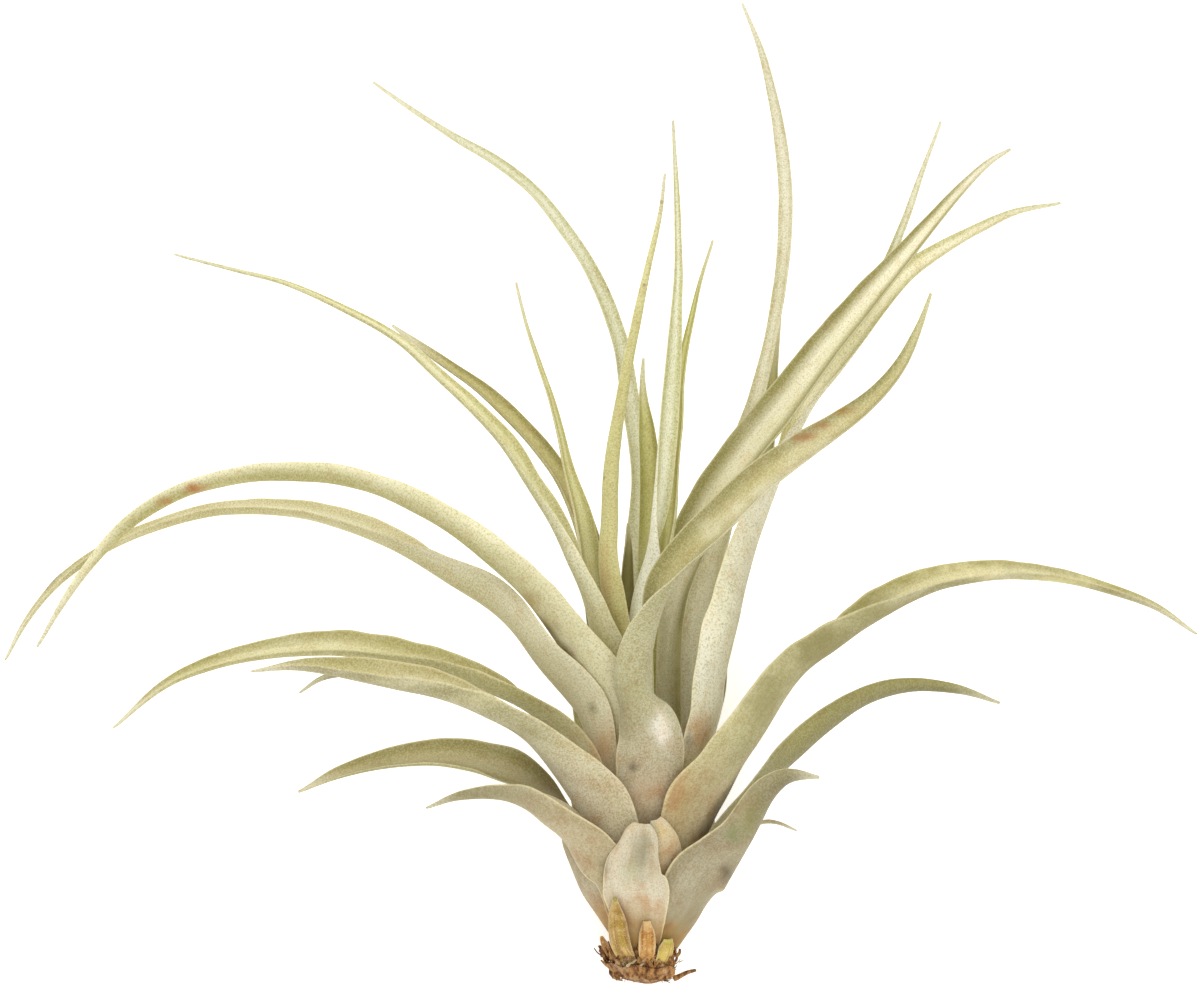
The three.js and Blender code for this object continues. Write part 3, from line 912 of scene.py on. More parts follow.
LEAVES: tuple[Leaf, ...] = (
    Leaf("leaf_01", foot=23, face=(0.1, 1, 0.4), begin=0.3, path=((-13, 54, 4.9, 17), (-20.6,
         63.3, 2.6, 15.2), (-28.3, 73.9, -3.2, 14.4), (-38.6, 80.4, -9.6, 12.6), (-49, 86.4, -15,
         11), (-59, 90.6, -22, 9.2), (-69, 93, -27, 8), (-79, 93.6, -31.6, 7), (-89, 92.6, -35.6,
         6.2), (-105, 87, -34.3, 5), (-117, 79, -32.3, 3.6), (-124, 70.5, -29.4, 2.2), (-128, 63,
         -26.6, 0.8))),
    Leaf("leaf_02", foot=27, hold=34, face=(0.1, 1, -0.55), path=((-8, 55, 9.4, 14.8), (-17.4,
         70.6, 9.4, 11.6), (-29, 83, 5, 11.6), (-39, 90.6, 1, 10.4), (-49, 96, -3, 9.4), (-59,
         99.4, -8, 8.4), (-69, 100.4, -13, 7.4), (-79, 100, -18, 6.4), (-91.6, 97, -24, 5.4),
         (-102.4, 91, -29, 4.4), (-109, 84.4, -30, 3.4), (-116, 75, -27, 2.2), (-121.6, 65.6,
         -23.5, 0.8))),
    Leaf("leaf_03", foot=19.4, face=(0.1, 1, 0.75), turn=0.7, path=((-14, 44, 5, 16), (-19, 50.4,
         5, 15.2), (-29, 57.6, 3, 13.8), (-39, 62, 0, 11.6), (-49, 64.2, -4, 11), (-62.4, 66, -9,
         9.6), (-78, 64.4, -15, 7.4), (-89, 61.4, -19, 5.4), (-97, 57.4, -20, 3.4), (-106.4, 49.4,
         -18.5, 0.8))),
    Leaf("leaf_04", foot=9.5, hold=42, face=(0.1, 1, 0.4), turn=0.8, path=((-8.2, 33.4, 14.7,
         12.4), (-16.3, 42.4, 16, 12.6), (-28, 52, 16, 15), (-39, 57.2, 14, 14.6), (-49, 59.4, 11,
         13.6), (-59, 61, 7, 10.6), (-69, 62, 3, 5.6), (-78.8, 60.8, -1, 0.9))),
    Leaf("leaf_05", foot=15.8, hold=40, face=(0.1, 1, 0.4), path=((-14.9, 40, -2.4, 10.6), (-25,
         50, -6, 8), (-38, 57, -11, 5.8), (-50, 60, -14, 4.4), (-60, 60.4, -16.5, 3), (-65.2,
         59.2, -17.6, 2), (-69.2, 56.4, -18.4, 0.8))),
    Leaf("leaf_06", foot=12.7, hold=40, face=(0, 0.9, 1), path=((-13.6, 30.4, 0.8, 12.6), (-20,
         36.6, 0, 13), (-29, 41.8, -2, 11.2), (-39, 44, -4.6, 9.4), (-49, 43.4, -8, 7.6), (-61,
         40.4, -12.4, 4.4), (-69.4, 36.6, -14, 0.8))),
    Leaf("leaf_07", foot=4.2, hold=26, face=(0, 1, -0.2), turn=0.8, path=((-6.9, 20, 14.3, 9),
         (-12.3, 25.7, 14.5, 12.4), (-17.8, 31.1, 13.6, 14), (-23, 35, 11.2, 12.2), (-29, 36.5,
         8.8, 7.8), (-37.6, 35.7, 5.6, 3.8), (-43.8, 33.4, 4, 0.8)), skin=SkinKind.LOW),
    Leaf("leaf_08", foot=6.2, hold=28, path=((-12, 17, 4.2, 13.8), (-13.8, 22.2, 5, 12.4), (-15,
         26, 5, 8.6), (-15.9, 29, 4.6, 4.4), (-16.3, 30.6, 4.2, 1)), skin=SkinKind.LOW),
    Leaf("leaf_09", foot=1.9, hold=27, path=((-1.9, 16.5, 15.9, 14), (-2.6, 20, 17.4, 12.6), (-2,
         23.3, 18.5, 12.2), (-1.3, 26, 19.2, 10.3), (-1, 28, 19.7, 9.1), (-0.8, 29.5, 20.1, 7),
         (-0.7, 30.4, 20.3, 4)), thick=1.6, skin=SkinKind.LOW),
    Leaf("leaf_10", foot=3.6, hold=32, face=(-0.5, 0.5, -0.7), path=((11.2, 18.6, 11.6, 17.6),
         (15.4, 23.8, 12.2, 14.2), (19, 28.2, 12.6, 11), (21.4, 32.2, 12.8, 9.8), (23.4, 35.6,
         12.6, 9), (25.6, 37.9, 12.4, 7.4), (28.4, 39.6, 12, 4.8), (31.2, 39.9, 11.8, 2.8), (34.9,
         39.5, 11.4, 0.9)), thick=1.6, skin=SkinKind.LOW),
    Leaf("leaf_11", foot=5.7, hold=30, path=((13, 18, -0.6, 8), (18.4, 27, -3.6, 5), (23, 30.6,
         -5, 2.4), (26.5, 30.6, -5.6, 1.4), (30.4, 28.9, -6.2, 0.7)), skin=SkinKind.LOW),
    Leaf("leaf_12", foot=8.6, hold=41, face=(0, 1, -0.6), path=((14.5, 27, 1, 15), (21, 35, -0.4,
         13.4), (28, 43.4, -3, 11.6), (36, 50.6, -7, 9.6), (45, 56, -12, 7), (53, 57.8, -16, 5),
         (63, 57, -19.5, 2.8), (71, 54.4, -21, 0.8))),
    Leaf("leaf_13", foot=11.5, hold=45, face=(0, 1, 0.5), begin=0.28, turn=0.64, path=((12.8, 35,
         8.8, 22), (16.2, 41.6, 9.4, 17.6), (20.6, 48.6, 9, 15.4), (29.8, 61.8, 4, 13.6), (37.4,
         67.6, 0, 15), (44.4, 72.4, -4, 14.6), (55.8, 78.2, -11, 10.6), (63.4, 80, -16, 9.4),
         (71.6, 80.8, -21, 8.4), (81.6, 80, -26.9, 7), (91, 77.8, -31.1, 5.2), (102, 73.8, -30.2,
         3.2), (110.4, 68.2, -27.4, 0.9))),
    Leaf("leaf_14", foot=16, face=(-0.3, 0.5, 1), begin=0.29, turn=0.5, fold=104, path=( (1.2, 43,
         14.8, 14.6), (1, 48.5, 15.8, 14), (-1, 53.4, 17, 12.6), (-2.5, 57.6, 17.9, 12.4), (-2.3,
         61.6, 18.6, 12.4), (-0.9, 66.4, 19.3, 12.2), (0.5, 71.4, 19.9, 12), (2.8, 77.2, 20.8,
         11), (6.2, 82.4, 21.3, 10.4), (10.6, 87, 21.9, 10.4), (15.4, 91.6, 22.5, 10.4), (22.4,
         98.4, 23, 9.8), (31, 104.8, 22.6, 8.6), (36.8, 108.8, 22, 7.4), (42.4, 112.6, 21, 6),
         (47.8, 117.6, 19.6, 4.6), (51.8, 123, 18, 3.6), (55, 130, 16, 2), (57.2, 136.4, 14.5,
         0.8))),
    Leaf("leaf_15", foot=32.5, face=(-0.5, 0.3, 1), path=((3.4, 50, -7.6, 10.6), (3.2, 62, -9,
         11), (5, 75, -9.4, 11.4), (9.2, 86, -9, 12), (14.6, 97, -8, 11.6), (21.4, 106.4, -7,
         11.4), (27.6, 114, -6, 11), (33.8, 122.4, -6, 10), (42.2, 132.8, -7, 8.6), (53.6, 146,
         -10, 5.6), (64, 158, -14, 3), (69.4, 163, -16, 1.8), (73.2, 165.2, -17, 0.8))),
    Leaf("leaf_16", foot=22.5, face=(-0.3, 0.4, 1), begin=0.42, turn=0.7, path=((13.7, 53, 6.5,
         15), (14.3, 60, 6.3, 15.2), (14.9, 66, 5.2, 14.4), (16.3, 72, 3.2, 13.6), (17.8, 78, 0.6,
         12.4), (19.6, 84, -2.4, 11), (22, 91, -6, 9.6), (24.8, 98, -9, 9), (28.4, 107, -11.4,
         8.8), (33, 116, -11.6, 8.6), (39, 124, -11.4, 8), (45, 132, -12, 7), (52, 140, -14, 5.6),
         (59, 145, -17, 4.2), (67, 149.4, -21, 3), (74, 152.6, -24, 2), (83.2, 154.4, -28, 0.8))),
    Leaf("leaf_17", foot=15, hold=20, face=(-0.3, 0.3, 1), path=((5.6, 55, -17, 9), (7.2, 72,
         -21.5, 7), (12, 88, -24.4, 6), (18, 100, -25.6, 5), (27, 111, -25.6, 4.4), (39, 127, -25,
         3.8), (46, 137, -25, 3.2), (51.7, 150, -26.4, 2.2), (55.2, 160, -28.6, 1.5), (59.2,
         170.8, -31, 0.7))),
    Leaf("leaf_18", foot=28.5, hold=40, face=(-0.4, 0.1, 1), path=((9, 52, -10, 9.6), (9.6, 63,
         -13.4, 9.4), (11.4, 75, -16, 9.4), (14.2, 87, -18.4, 9), (17.2, 98, -20.6, 7.4), (20.2,
         108, -22.4, 5.8), (22.8, 117, -24, 4.2), (25.1, 127, -26, 3.3), (26.8, 136.4, -28, 3.4),
         (28, 146, -30, 4), (28.2, 155, -32, 4), (27.4, 165.6, -34.6, 3.6), (25.4, 176.4, -37.4,
         2.6), (23.2, 185, -40, 1.7), (19.4, 194.4, -43, 0.7))),
    Leaf("leaf_19", foot=18.4, hold=18, face=(-0.4, 0.1, 1), path=((13.7, 55, -11.8, 8.2), (14.5,
         66, -17.2, 6.2), (17.8, 77, -21.6, 5.6), (21.2, 90, -25.2, 5.2), (23.9, 102, -29, 4.6),
         (25, 112, -32, 4), (25.7, 122, -35, 3), (27.1, 133, -38, 0.8))),
    Leaf("leaf_20", foot=36, hold=24, face=(0.2, 0.2, 1), path=((-4.5, 62, -6.6, 5.8), (-2.6, 80,
         -12.2, 4.8), (-0.9, 95, -16, 5.6), (-1.6, 107, -19, 5.4), (-3.4, 117, -22, 4.8), (-4.9,
         126, -24, 4.4), (-8, 135, -27, 4), (-11.6, 142.6, -29, 3.6), (-16, 149, -31, 3.4),
         (-22.2, 156.7, -34, 3.2), (-29.7, 162.7, -37, 2.8), (-37.8, 167.4, -40, 2.2), (-45, 172,
         -43, 1.4), (-54.4, 178.6, -47, 0.7))),
    Leaf("leaf_21", foot=39.5, face=(0.6, 0, -1), path=((-4.6, 62, 4.2, 7.6), (-6.4, 73, 5, 7.4),
         (-7.6, 83, 5.8, 5.8), (-7.3, 91, 6, 5), (-6.8, 102, 6.6, 4.2), (-5.2, 113, 7, 3.3),
         (-2.5, 127, 7, 2.6), (0.4, 141, 6.6, 1.9), (3, 152, 6, 1.2), (4, 160.4, 5.6, 0.7))),
    Leaf("leaf_22", foot=43.5, face=(0.3, 0, 1), path=((-1.2, 66, 5, 5.6), (0.4, 79, 4.8, 6.4),
         (2.6, 91, 4.8, 6), (4, 103, 5, 5.4), (5, 115, 5.4, 4.8), (5.8, 125, 5.4, 4), (6.2, 132,
         5.4, 3.2), (6.6, 141, 5, 2.4), (6.6, 148, 5, 1.9), (6, 163, 4.6, 1.1), (5.6, 171, 4.4,
         0.7))),
    Leaf("leaf_23", foot=48, face=(-0.5, 0, 1), path=((0.8, 66, 1.2, 3.6), (3.5, 79, -0.4, 4.6),
         (4.9, 91, -0.4, 4.6), (5.5, 103, 0, 4.4), (6.3, 111, 0.2, 4.1), (6.9, 118, 0.2, 3), (7.9,
         125, 0, 2.2), (9.4, 132, -0.2, 1.6), (11.1, 139, -0.6, 1.1), (13.6, 147, -1.2, 0.7))),
    Leaf("leaf_24", foot=45, face=(0, 0, 1), path=((0.2, 66, -4.4, 5), (1.2, 79, -5.4, 6), (1.2,
         92, -5.6, 6), (1, 101, -5.6, 5.6), (0.4, 109, -5.6, 4.4), (-0.3, 115, -5.6, 2.4), (-0.5,
         120, -5.6, 1.2), (-0.3, 123.4, -5.6, 0.7))),
    Leaf("leaf_25", foot=35.5, hold=23, face=(0.6, 0, 1), path=((-7.8, 62, -0.8, 6.4), (-9.4, 73,
         -2, 6.2), (-11, 83, -1.8, 6.2), (-12.6, 92, -1.8, 5), (-15.2, 101, -2, 2.9), (-16.8, 108,
         -2.4, 2.2), (-18.8, 115.6, -3, 1.7), (-21, 122, -3.6, 1.3), (-23.4, 129, -4.4, 1),
         (-25.8, 138.6, -5.6, 0.7))),
    Leaf("leaf_26", foot=31, face=(0.6, 0.8, 0.7), path=((-6.6, 60, 6.6, 11), (-9.8, 71, 7.6,
         10.4), (-13, 81, 7.6, 9.6), (-17, 90, 6.6, 8.6), (-22.6, 98.8, 5.4, 7), (-27.8, 106.8,
         3.8, 6), (-33.3, 112.8, 2, 5), (-41.2, 120, -0.4, 4), (-49, 127, -3, 3.2), (-62.8, 134.6,
         -7, 2.2), (-73, 138.8, -10, 1.6), (-81, 140.8, -12.4, 1.2), (-94.2, 144.2, -16, 0.7))),
    Leaf("leaf_27", foot=28.2, face=(0.6, 0.5, 0.8), path=((-8.6, 60, -5.8, 9), (-9.8, 72, -8, 8),
         (-10.8, 83, -9, 7.2), (-13.2, 92.4, -10, 6.8), (-17.2, 100.4, -10.6, 5.6), (-22.1, 106.8,
         -11, 5.3), (-27.5, 112.5, -11.4, 4.9), (-33.1, 117.5, -12, 4.2), (-38.8, 121.5, -12.6,
         3.5), (-44, 125.2, -13.4, 2.6), (-50.6, 130, -14.4, 0.8))),
    Leaf("leaf_28", foot=40.5, path=((-3.8, 62, -4.2, 4.4), (-3.8, 75, -5, 4), (-3.4, 85, -5,
         2.4), (-3.4, 90.4, -4.8, 0.8)), skin=SkinKind.INNER),
    Leaf("leaf_35", foot=8.6, hold=20, path=((3.3, 21, 12, 9.2), (3.8, 25, 13.9, 7.8), (3.4, 28.2,
         15.1, 6.2), (2.6, 30.2, 16, 4.8), (2.2, 31.2, 16.4, 2.8)), thick=0.8, skin=SkinKind.LOW),
    Leaf("leaf_29", foot=7.6, hold=30, gutter=30, sheath=1.5, path=((0.2, 17, -10.8, 9), (1.2, 24,
         -13.5, 10), (1.8, 31, -15.8, 7), (2.4, 36, -17, 1.6)), thick=1.8, skin=SkinKind.LOW),
    Leaf("leaf_30", foot=3, hold=30, path=((8.6, 20, -10.2, 10), (11, 26.6, -13.2, 8.6), (12.8,
         29.4, -14.6, 5), (13.6, 31, -15.4, 1.4)), skin=SkinKind.LOW),
    Leaf("leaf_31", foot=8.4, hold=34, path=((-10, 24, -7, 9), (-12.4, 32, -11, 8), (-14, 37.6,
         -14.4, 5), (-15.4, 41, -16, 1.2)), skin=SkinKind.LOW),
    Leaf("leaf_32", foot=11, hold=34, path=((1.5, 33, -12.8, 12), (3, 45, -17.4, 10), (5, 57,
         -20.8, 8), (7, 68, -23.6, 5), (9, 76, -26, 1.2)), skin=SkinKind.INNER),
    Leaf("leaf_33", foot=18.4, hold=35, path=((-7.8, 38, -11.8, 10), (-10, 48, -16, 10), (-12.6,
         58, -19.6, 8), (-16, 67, -22.6, 5), (-20, 74, -25, 1.2)), skin=SkinKind.INNER),
    Leaf("leaf_34", foot=24.5, hold=34, path=((-3.2, 46, -11.6, 10.4), (-4.2, 56, -15.8, 8.4),
         (-5.4, 66, -19, 7), (-7, 76, -21.8, 5), (-9.4, 84, -24, 3), (-11, 90, -25.4, 1)),
         skin=SkinKind.INNER),
)

SCALES: tuple[Leaf, ...] = (
    Leaf("dry_scale_front", foot=0.3, hold=13, path=((-5, 6, 9.4, 5), (-5.6, 11, 12.5, 4.2), (-6,
         15.4, 15.6, 1)), skin=SkinKind.SCALE),
    Leaf("dry_scale_middle", foot=0.3, hold=9, path=((0.4, 5.6, 10.2, 3.4), (0.4, 8.4, 12, 3.2),
         (0.3, 10.8, 13.5, 1.6)), skin=SkinKind.SCALE),
    Leaf("dry_scale_right_front", foot=0.3, hold=12, path=((4, 3.8, 7.6, 3.6), (4.4, 5.6, 8.8,
         3.6), (4.7, 7.2, 9.8, 2)), skin=SkinKind.SCALE),
    Leaf("dry_scale_left", foot=1.6, hold=24, path=((-7.4, 4, 1.7, 6.4), (-8.1, 6, 1.9, 5), (-8.7,
         7.8, 2, 1.8)), skin=SkinKind.SCALE),
)
# end of the leaf tables

# the leaves' own stains and tints, and among them some painted shade and painted highlights
STAINS_AND_LIGHT: tuple[StainAndLight, ...] = (
    # orange-brown tint where the two lowest left leaves part, darkened toward their join as
    # painted shade of the crease
    StainAndLight(("leaf_02",), (-24, 74.6), (3.4, 2.4), "a08430", 0.7),
    StainAndLight(("leaf_02",), (-19.6, 69), (2.4, 2.8), "8a6a20", 0.8),
    StainAndLight(("leaf_02",), (-15.8, 63.4), (1.8, 2.8), "74501c", 0.8),
    # warm patches on the sheaths
    StainAndLight(("leaf_13",), (6, 37), (4.5, 8), "c9a268", 0.55),
    StainAndLight(("leaf_16", "leaf_18"), (11, 48.5), (3, 4.5), "c78f50", 0.7),
    StainAndLight(("leaf_01", "leaf_02", "leaf_03"), (-8.4, 45), (3, 4), "d3a274", 0.7),
    StainAndLight(("leaf_14",), (0, 37), (5.5, 5), "dcc2a2", 0.6),
    # painted highlight: near-white on the bulging shoulder of the front leaf's sheath
    StainAndLight(("leaf_14",), (3.7, 49.6), (2.6, 4.2), "fbf6ea", 0.95),
    StainAndLight(("leaf_14",), (-3.5, 55), (3, 8), "a8a178", 0.5),
    StainAndLight(("leaf_35",), (3.2, 28.4), (2.4, 2.4), "e0cd92", 0.6),
    StainAndLight(("leaf_21",), (-8, 78), (1.8, 8), "caa878", 0.55),
    # lowest front leaf: painted shade in its dark olive middle under the overhanging blade, green
    # on its left
    StainAndLight(("leaf_09",), (-0.6, 24), (2.4, 6.6), "878060", 0.8),
    StainAndLight(("leaf_09",), (-3, 20.6), (1.8, 3.6), "a2a676", 0.5),
    StainAndLight(("leaf_09",), (0.4, 15.5), (3.4, 3.4), "d6cbb0", 0.5),
    # dark blemishes
    StainAndLight(("leaf_14",), (-2.6, 41.8), (0.9, 1.1), "4a3a22", 0.8),
    StainAndLight(("leaf_01",), (-10.5, 53), (0.8, 1.3), "5a4a2c", 0.7),
    StainAndLight(("leaf_13", "leaf_14", "leaf_16"), (8.6, 46.8), (0.8, 2.2), "3c2c1a", 0.75),
    StainAndLight(("leaf_07", "leaf_09"), (-8.3, 22.5), (0.8, 2.6), "5a4a30", 0.7),
    StainAndLight(("leaf_10",), (16.3, 20.4), (1.3, 2.2), "4a3f20", 0.85),
    StainAndLight(("leaf_10",), (17.6, 28), (1.2, 1.9), "66742c", 0.9),
    # painted shadow of the front leaf down the left of the leaf behind it, and a painted highlight
    # on that leaf's lit right flank
    StainAndLight(("leaf_15",), (3.4, 70), (1.8, 16), "a0965a", 0.45),
    StainAndLight(("leaf_15", "leaf_16"), (6.8, 64), (1.3, 9), "cfc492", 0.75),
    # the long right leaf: grey-olive where it rises, cream over the arch
    StainAndLight(("leaf_13",), (25, 55), (8, 9), "938a58", 0.7),
    StainAndLight(("leaf_13",), (35, 66), (9, 7), "857c44", 0.75),
    StainAndLight(("leaf_13",), (47, 73.4), (8, 4), "8a8248", 0.65),
    StainAndLight(("leaf_13",), (66, 80.8), (13, 1.8), "eae2b0", 0.75),
    StainAndLight(("leaf_13",), (83, 78.6), (9, 2), "e2daa0", 0.6),
    # pale lower band of the broad left leaf
    StainAndLight(("leaf_04",), (-46, 58.6), (9, 1.4), "e9e2bc", 0.5),
    StainAndLight(("leaf_04",), (-33, 55), (7, 1.6), "e4dcb2", 0.45),
    StainAndLight(("leaf_04",), (-26, 48.6), (6, 1.5), "857c40", 0.65),
    # silver-grey low down on the broad right leaves
    StainAndLight(("leaf_16", "leaf_17", "leaf_18"), (21, 78), (9, 26), "b6ad8c", 0.6),
    StainAndLight(("leaf_10",), (20.5, 31.5), (3.4, 6), "8c8c50", 0.6),
    # the whitish lower half of the front leaf's free blade
    StainAndLight(("leaf_14",), (13, 89.4), (4.2, 2.8), "ece6cc", 0.5),
    StainAndLight(("leaf_14",), (19, 92.8), (4.2, 2.8), "eee8d0", 0.5),
    StainAndLight(("leaf_14",), (25, 96.4), (4.2, 2.8), "eee8d0", 0.5),
    StainAndLight(("leaf_14",), (31, 100), (4.2, 2.8), "ece6cc", 0.45),
    StainAndLight(("leaf_14",), (37, 104), (4, 2.6), "e8e2c4", 0.4),
    # rust on the long left leaf and along the front leaf's upper margin
    StainAndLight(("leaf_02",), (-90, 97.4), (2.8, 1.2), "b06018", 0.9),
    StainAndLight(("leaf_02",), (-96, 94.6), (1.6, 0.9), "b06c28", 0.8),
    StainAndLight(("leaf_14",), (31.4, 107.6), (2.8, 0.9), "a05c1c", 0.85),
    StainAndLight(("leaf_14",), (35.4, 110), (2.8, 0.9), "a46620", 0.8),
    StainAndLight(("leaf_14",), (40, 112.8), (2.8, 0.9), "a87628", 0.75),
)

LOOKS: dict[str, tuple[Dress, float]] = {
    "leaf_01": (Dress("d4c29c", "e2dcbe", "b4aa6c", "dad4b2", "c2b986"), 0.55),
    "leaf_02": (Dress("d8cda4", "e8e2ba", "a39a46", "dcd49a", "a8a04e"), 0.4),
    "leaf_03": (Dress("d8c8a6", "dcd6ac", "a8a05c", "d2cb96", "aaa25e"), 0.45),
    "leaf_04": (Dress("cabb9a", "dcd4aa", "8e844c", "c8bf86", "aca262"), 0.45),
    "leaf_05": (Dress("9a8e68", "8c8248", "6e6830", "8c8248", "6e6830"), 0.25),
    "leaf_06": (Dress("c4b48c", "bcb082", "948c4a", "b8ac7a", "9c9250"), 0.4),
    "leaf_07": (Dress("bba986", "a99f78", "8a8054", "b4a480", "988e60"), 0.35),
    "leaf_08": (Dress("a08f6c", "a4966e", "80764a", "9c9066", "857b4c"), 0.35),
    "leaf_09": (Dress("d0c3a8", "d0c3a8", "8c8360", "d0c3a8", "8c8360"), 0.4),
    "leaf_10": (Dress("988c6c", "8f855a", "6e663c", "8c8250", "7c7246"), 0.3),
    "leaf_11": (Dress("9c906a", "9c905b", "80763f", "9c905b", "80763f"), 0.3),
    "leaf_12": (Dress("9c9060", "a09854", "706a30", "a49c5a", "7c7636"), 0.25),
    "leaf_13": (Dress("c8b48c", "ccc492", "857c38", "d8d098", "a8a058"), 0.35),
    "leaf_14": (Dress("b0a182", "bab488", "968e5c", "bcb278", "9c9454", "cfcba0"), 0.45),
    "leaf_15": (Dress("b4a96c", "d2cea2", "8a823a", "ece6c6", "938b40"), 0.4),
    "leaf_16": (Dress("cfc4a4", "eeead0", "c6bd92", "ebe5c0", "c9c484"), 0.7),
    "leaf_17": (Dress("ccbc9c", "e2e0c6", "c6c29a", "e0debe", "c2be92"), 0.6),
    "leaf_18": (Dress("c8b68e", "dcd8c0", "c6c09c", "d8d3b6", "c4be98"), 0.6),
    "leaf_19": (Dress("a3985e", "a8a268", "80783c", "a09a5c", "80783c"), 0.2),
    "leaf_20": (Dress("c4b98e", "d8d8be", "c2c196", "d4d3b2", "c0be90"), 0.6),
    "leaf_21": (Dress("d4bd88", "d0c98a", "b2a85c", "c8c27e", "aca45a"), 0.3),
    "leaf_22": (Dress("c6be80", "f0f0d8", "cac88e", "e8e8c8", "c4c288"), 0.6),
    "leaf_23": (Dress("c2ba6c", "d6d292", "aca856", "cecb86", "a8a44e"), 0.3),
    "leaf_24": (Dress("c2ba6c", "d2cf8c", "a8a454", "c8c47e", "a4a04c"), 0.3),
    "leaf_25": (Dress("ccb87c", "dcd8ac", "b8b06c", "d4d096", "b2ac64"), 0.4),
    "leaf_26": (Dress("c8b888", "e4e0bc", "bcb67c", "dcd7a2", "b6b06c"), 0.5),
    "leaf_27": (Dress("b8a66c", "c4ba80", "9c9450", "bcb270", "988e48"), 0.35),
    "leaf_28": (Dress("988c50", "908850", "7c743c", "908850", "7c743c"), 0.2),
    "leaf_35": (Dress("dfc79c", "eadca6", "c4ae74", "dcbc92", "eadca6"), 0.3),
    "dry_scale_front": (Dress("a8702c", "a88a34", "8f6a28", "b8862a", "a87828", "8c8c34"), 0.2),
    "dry_scale_middle": (Dress("a8702c", "bc8434", "9c6622", "b88434", "a46c26", "d8bc7c"), 0.2),
    "dry_scale_right_front": (Dress("a8702c", "c0ac40", "a08430", "b8a03a", "a08c30",
                                    "c8c060"), 0.2),
    "dry_scale_left": (Dress("8a5424", "b0762c", "7c4c1c", "a86e28", "7c4c1c", "c8943c"), 0.2),
}


@dataclass
class Rosette:
    """All the leaves, from the lowest to the innermost."""

    leaves: tuple[Leaf, ...]

    def build(self) -> list[bpy.types.Object]:
        """Builds every leaf.

        Returns:
            The pieces.
        """
        pieces = []
        for leaf in self.leaves:
            leaf.dress, leaf.frost = LOOKS.get(leaf.name, (Dress(), 0.4))
            pieces.append(leaf.build())
        return pieces


@dataclass
class Foot:
    """The short stem and the torn woody cup round its foot.

    Attributes:
        rims: height of the cup's torn edge, from the front round by the left.
        sides: sides of each ring.
    """

    rims: tuple[float, ...] = (1.7, 2.2, 1.5, 2.6, 2.5, 3.2, 2, 0.6, -0.1, -0.3, -0.3, -0.3, -0.3,
                               -0.3, -0.3, -0.3, -0.3, 1.3, 2.1, 1.2)
    sides: int = 80

    def lathe(self, name: str, slot: str, rings: list[list[Vector]]) -> bpy.types.Object:
        """Makes a closed body by extruding a circle from ring to ring.

        Args:
            name: the solid it stands for.
            slot: its material slot.
            rings: the points of each ring, in the plant's axes.

        Returns:
            The piece.
        """
        bm = bmesh.new()
        ring = Ring(bm, len(rings[0]))
        for k, spots in enumerate(rings):
            if k:
                ring.grow()
            for vert, spot in zip(ring.verts, spots):
                vert.co = lie_down(spot)
        ends = [e for e in bm.edges if e.is_boundary]
        caps = bmesh.ops.holes_fill(bm, edges=ends, sides=0)["faces"]
        bmesh.ops.poke(bm, faces=caps)
        bmesh.ops.recalc_face_normals(bm, faces=bm.faces[:])
        return finish_piece(bm, name, slot)

    def rim(self, turn: float) -> float:
        """Gives the height of the cup's edge.

        Args:
            turn: place round the stem, from 0 at the front to 1.

        Returns:
            The height, in millimetres.
        """
        i, share = divmod(turn * len(self.rims), 1.0)
        a = self.rims[int(i) % len(self.rims)]
        return mix(a, self.rims[(int(i) + 1) % len(self.rims)], share)

    def cup(self) -> list[list[Vector]]:
        """Lays the rings of the cup, from its outer bottom over the rim to its floor.

        Returns:
            The rings.
        """
        rings: list[list[Vector]] = [[] for _ in range(10)]
        for i in range(self.sides):
            turn = i / self.sides
            sin, cos = math.sin(2 * math.pi * turn), math.cos(2 * math.pi * turn)
            rim = self.rim(turn)
            tear = noise.noise(Vector((sin * 5, cos * 5, 3.0)))
            ridge = noise.noise(Vector((sin * 9, cos * 9, 8.0)))
            up = smooth(-0.25, 0.3, rim)
            rim += up * 0.7 * tear
            inner = mix(4.4, 6.2 + 0.8 * max(0.0, rim - 0.3), up)
            outer = inner + mix(0.3, 0.7, up)
            floor = mix(4.1, mix(6.0, 4.8, smooth(0.6, 1.0, sin)), up)
            wall = (
                (0.6, -1.75, 0.9),
                (0.4, -1.35, 2.6),
                (0, -1, floor - 0.7),
                (0, mix(-0.7, rim, 0.3), mix(floor + 0.1, outer, 0.35)),
                (0, mix(-0.7, rim, 0.7), mix(floor + 0.1, outer, 0.75)),
                (0, rim - 0.1, outer),
                (0, rim, mix(inner, outer, 0.5)),
                (0, rim - 0.15, inner),
                (0, -0.4, floor),
                (0, -0.4, 3))
            for k, (middle, height, radius) in enumerate(wall):
                rough = radius + 0.16 * (ridge if 1 < k < 6 else 0.0)
                rings[k].append(Vector((middle - rough * sin, height, rough * cos)))
        return rings

    def build(self) -> list[bpy.types.Object]:
        """Builds the stem and the cup.

        Returns:
            The pieces.
        """
        round_stem = []
        for y, radius in STEM:
            turns = [2 * math.pi * i / 24 for i in range(24)]
            round_stem.append([Vector((-radius * math.sin(a), y, radius * math.cos(a)))
                               for a in turns])
        return [self.lathe("stem", "stem", round_stem),
                self.lathe("root_stub", "root", self.cup())]


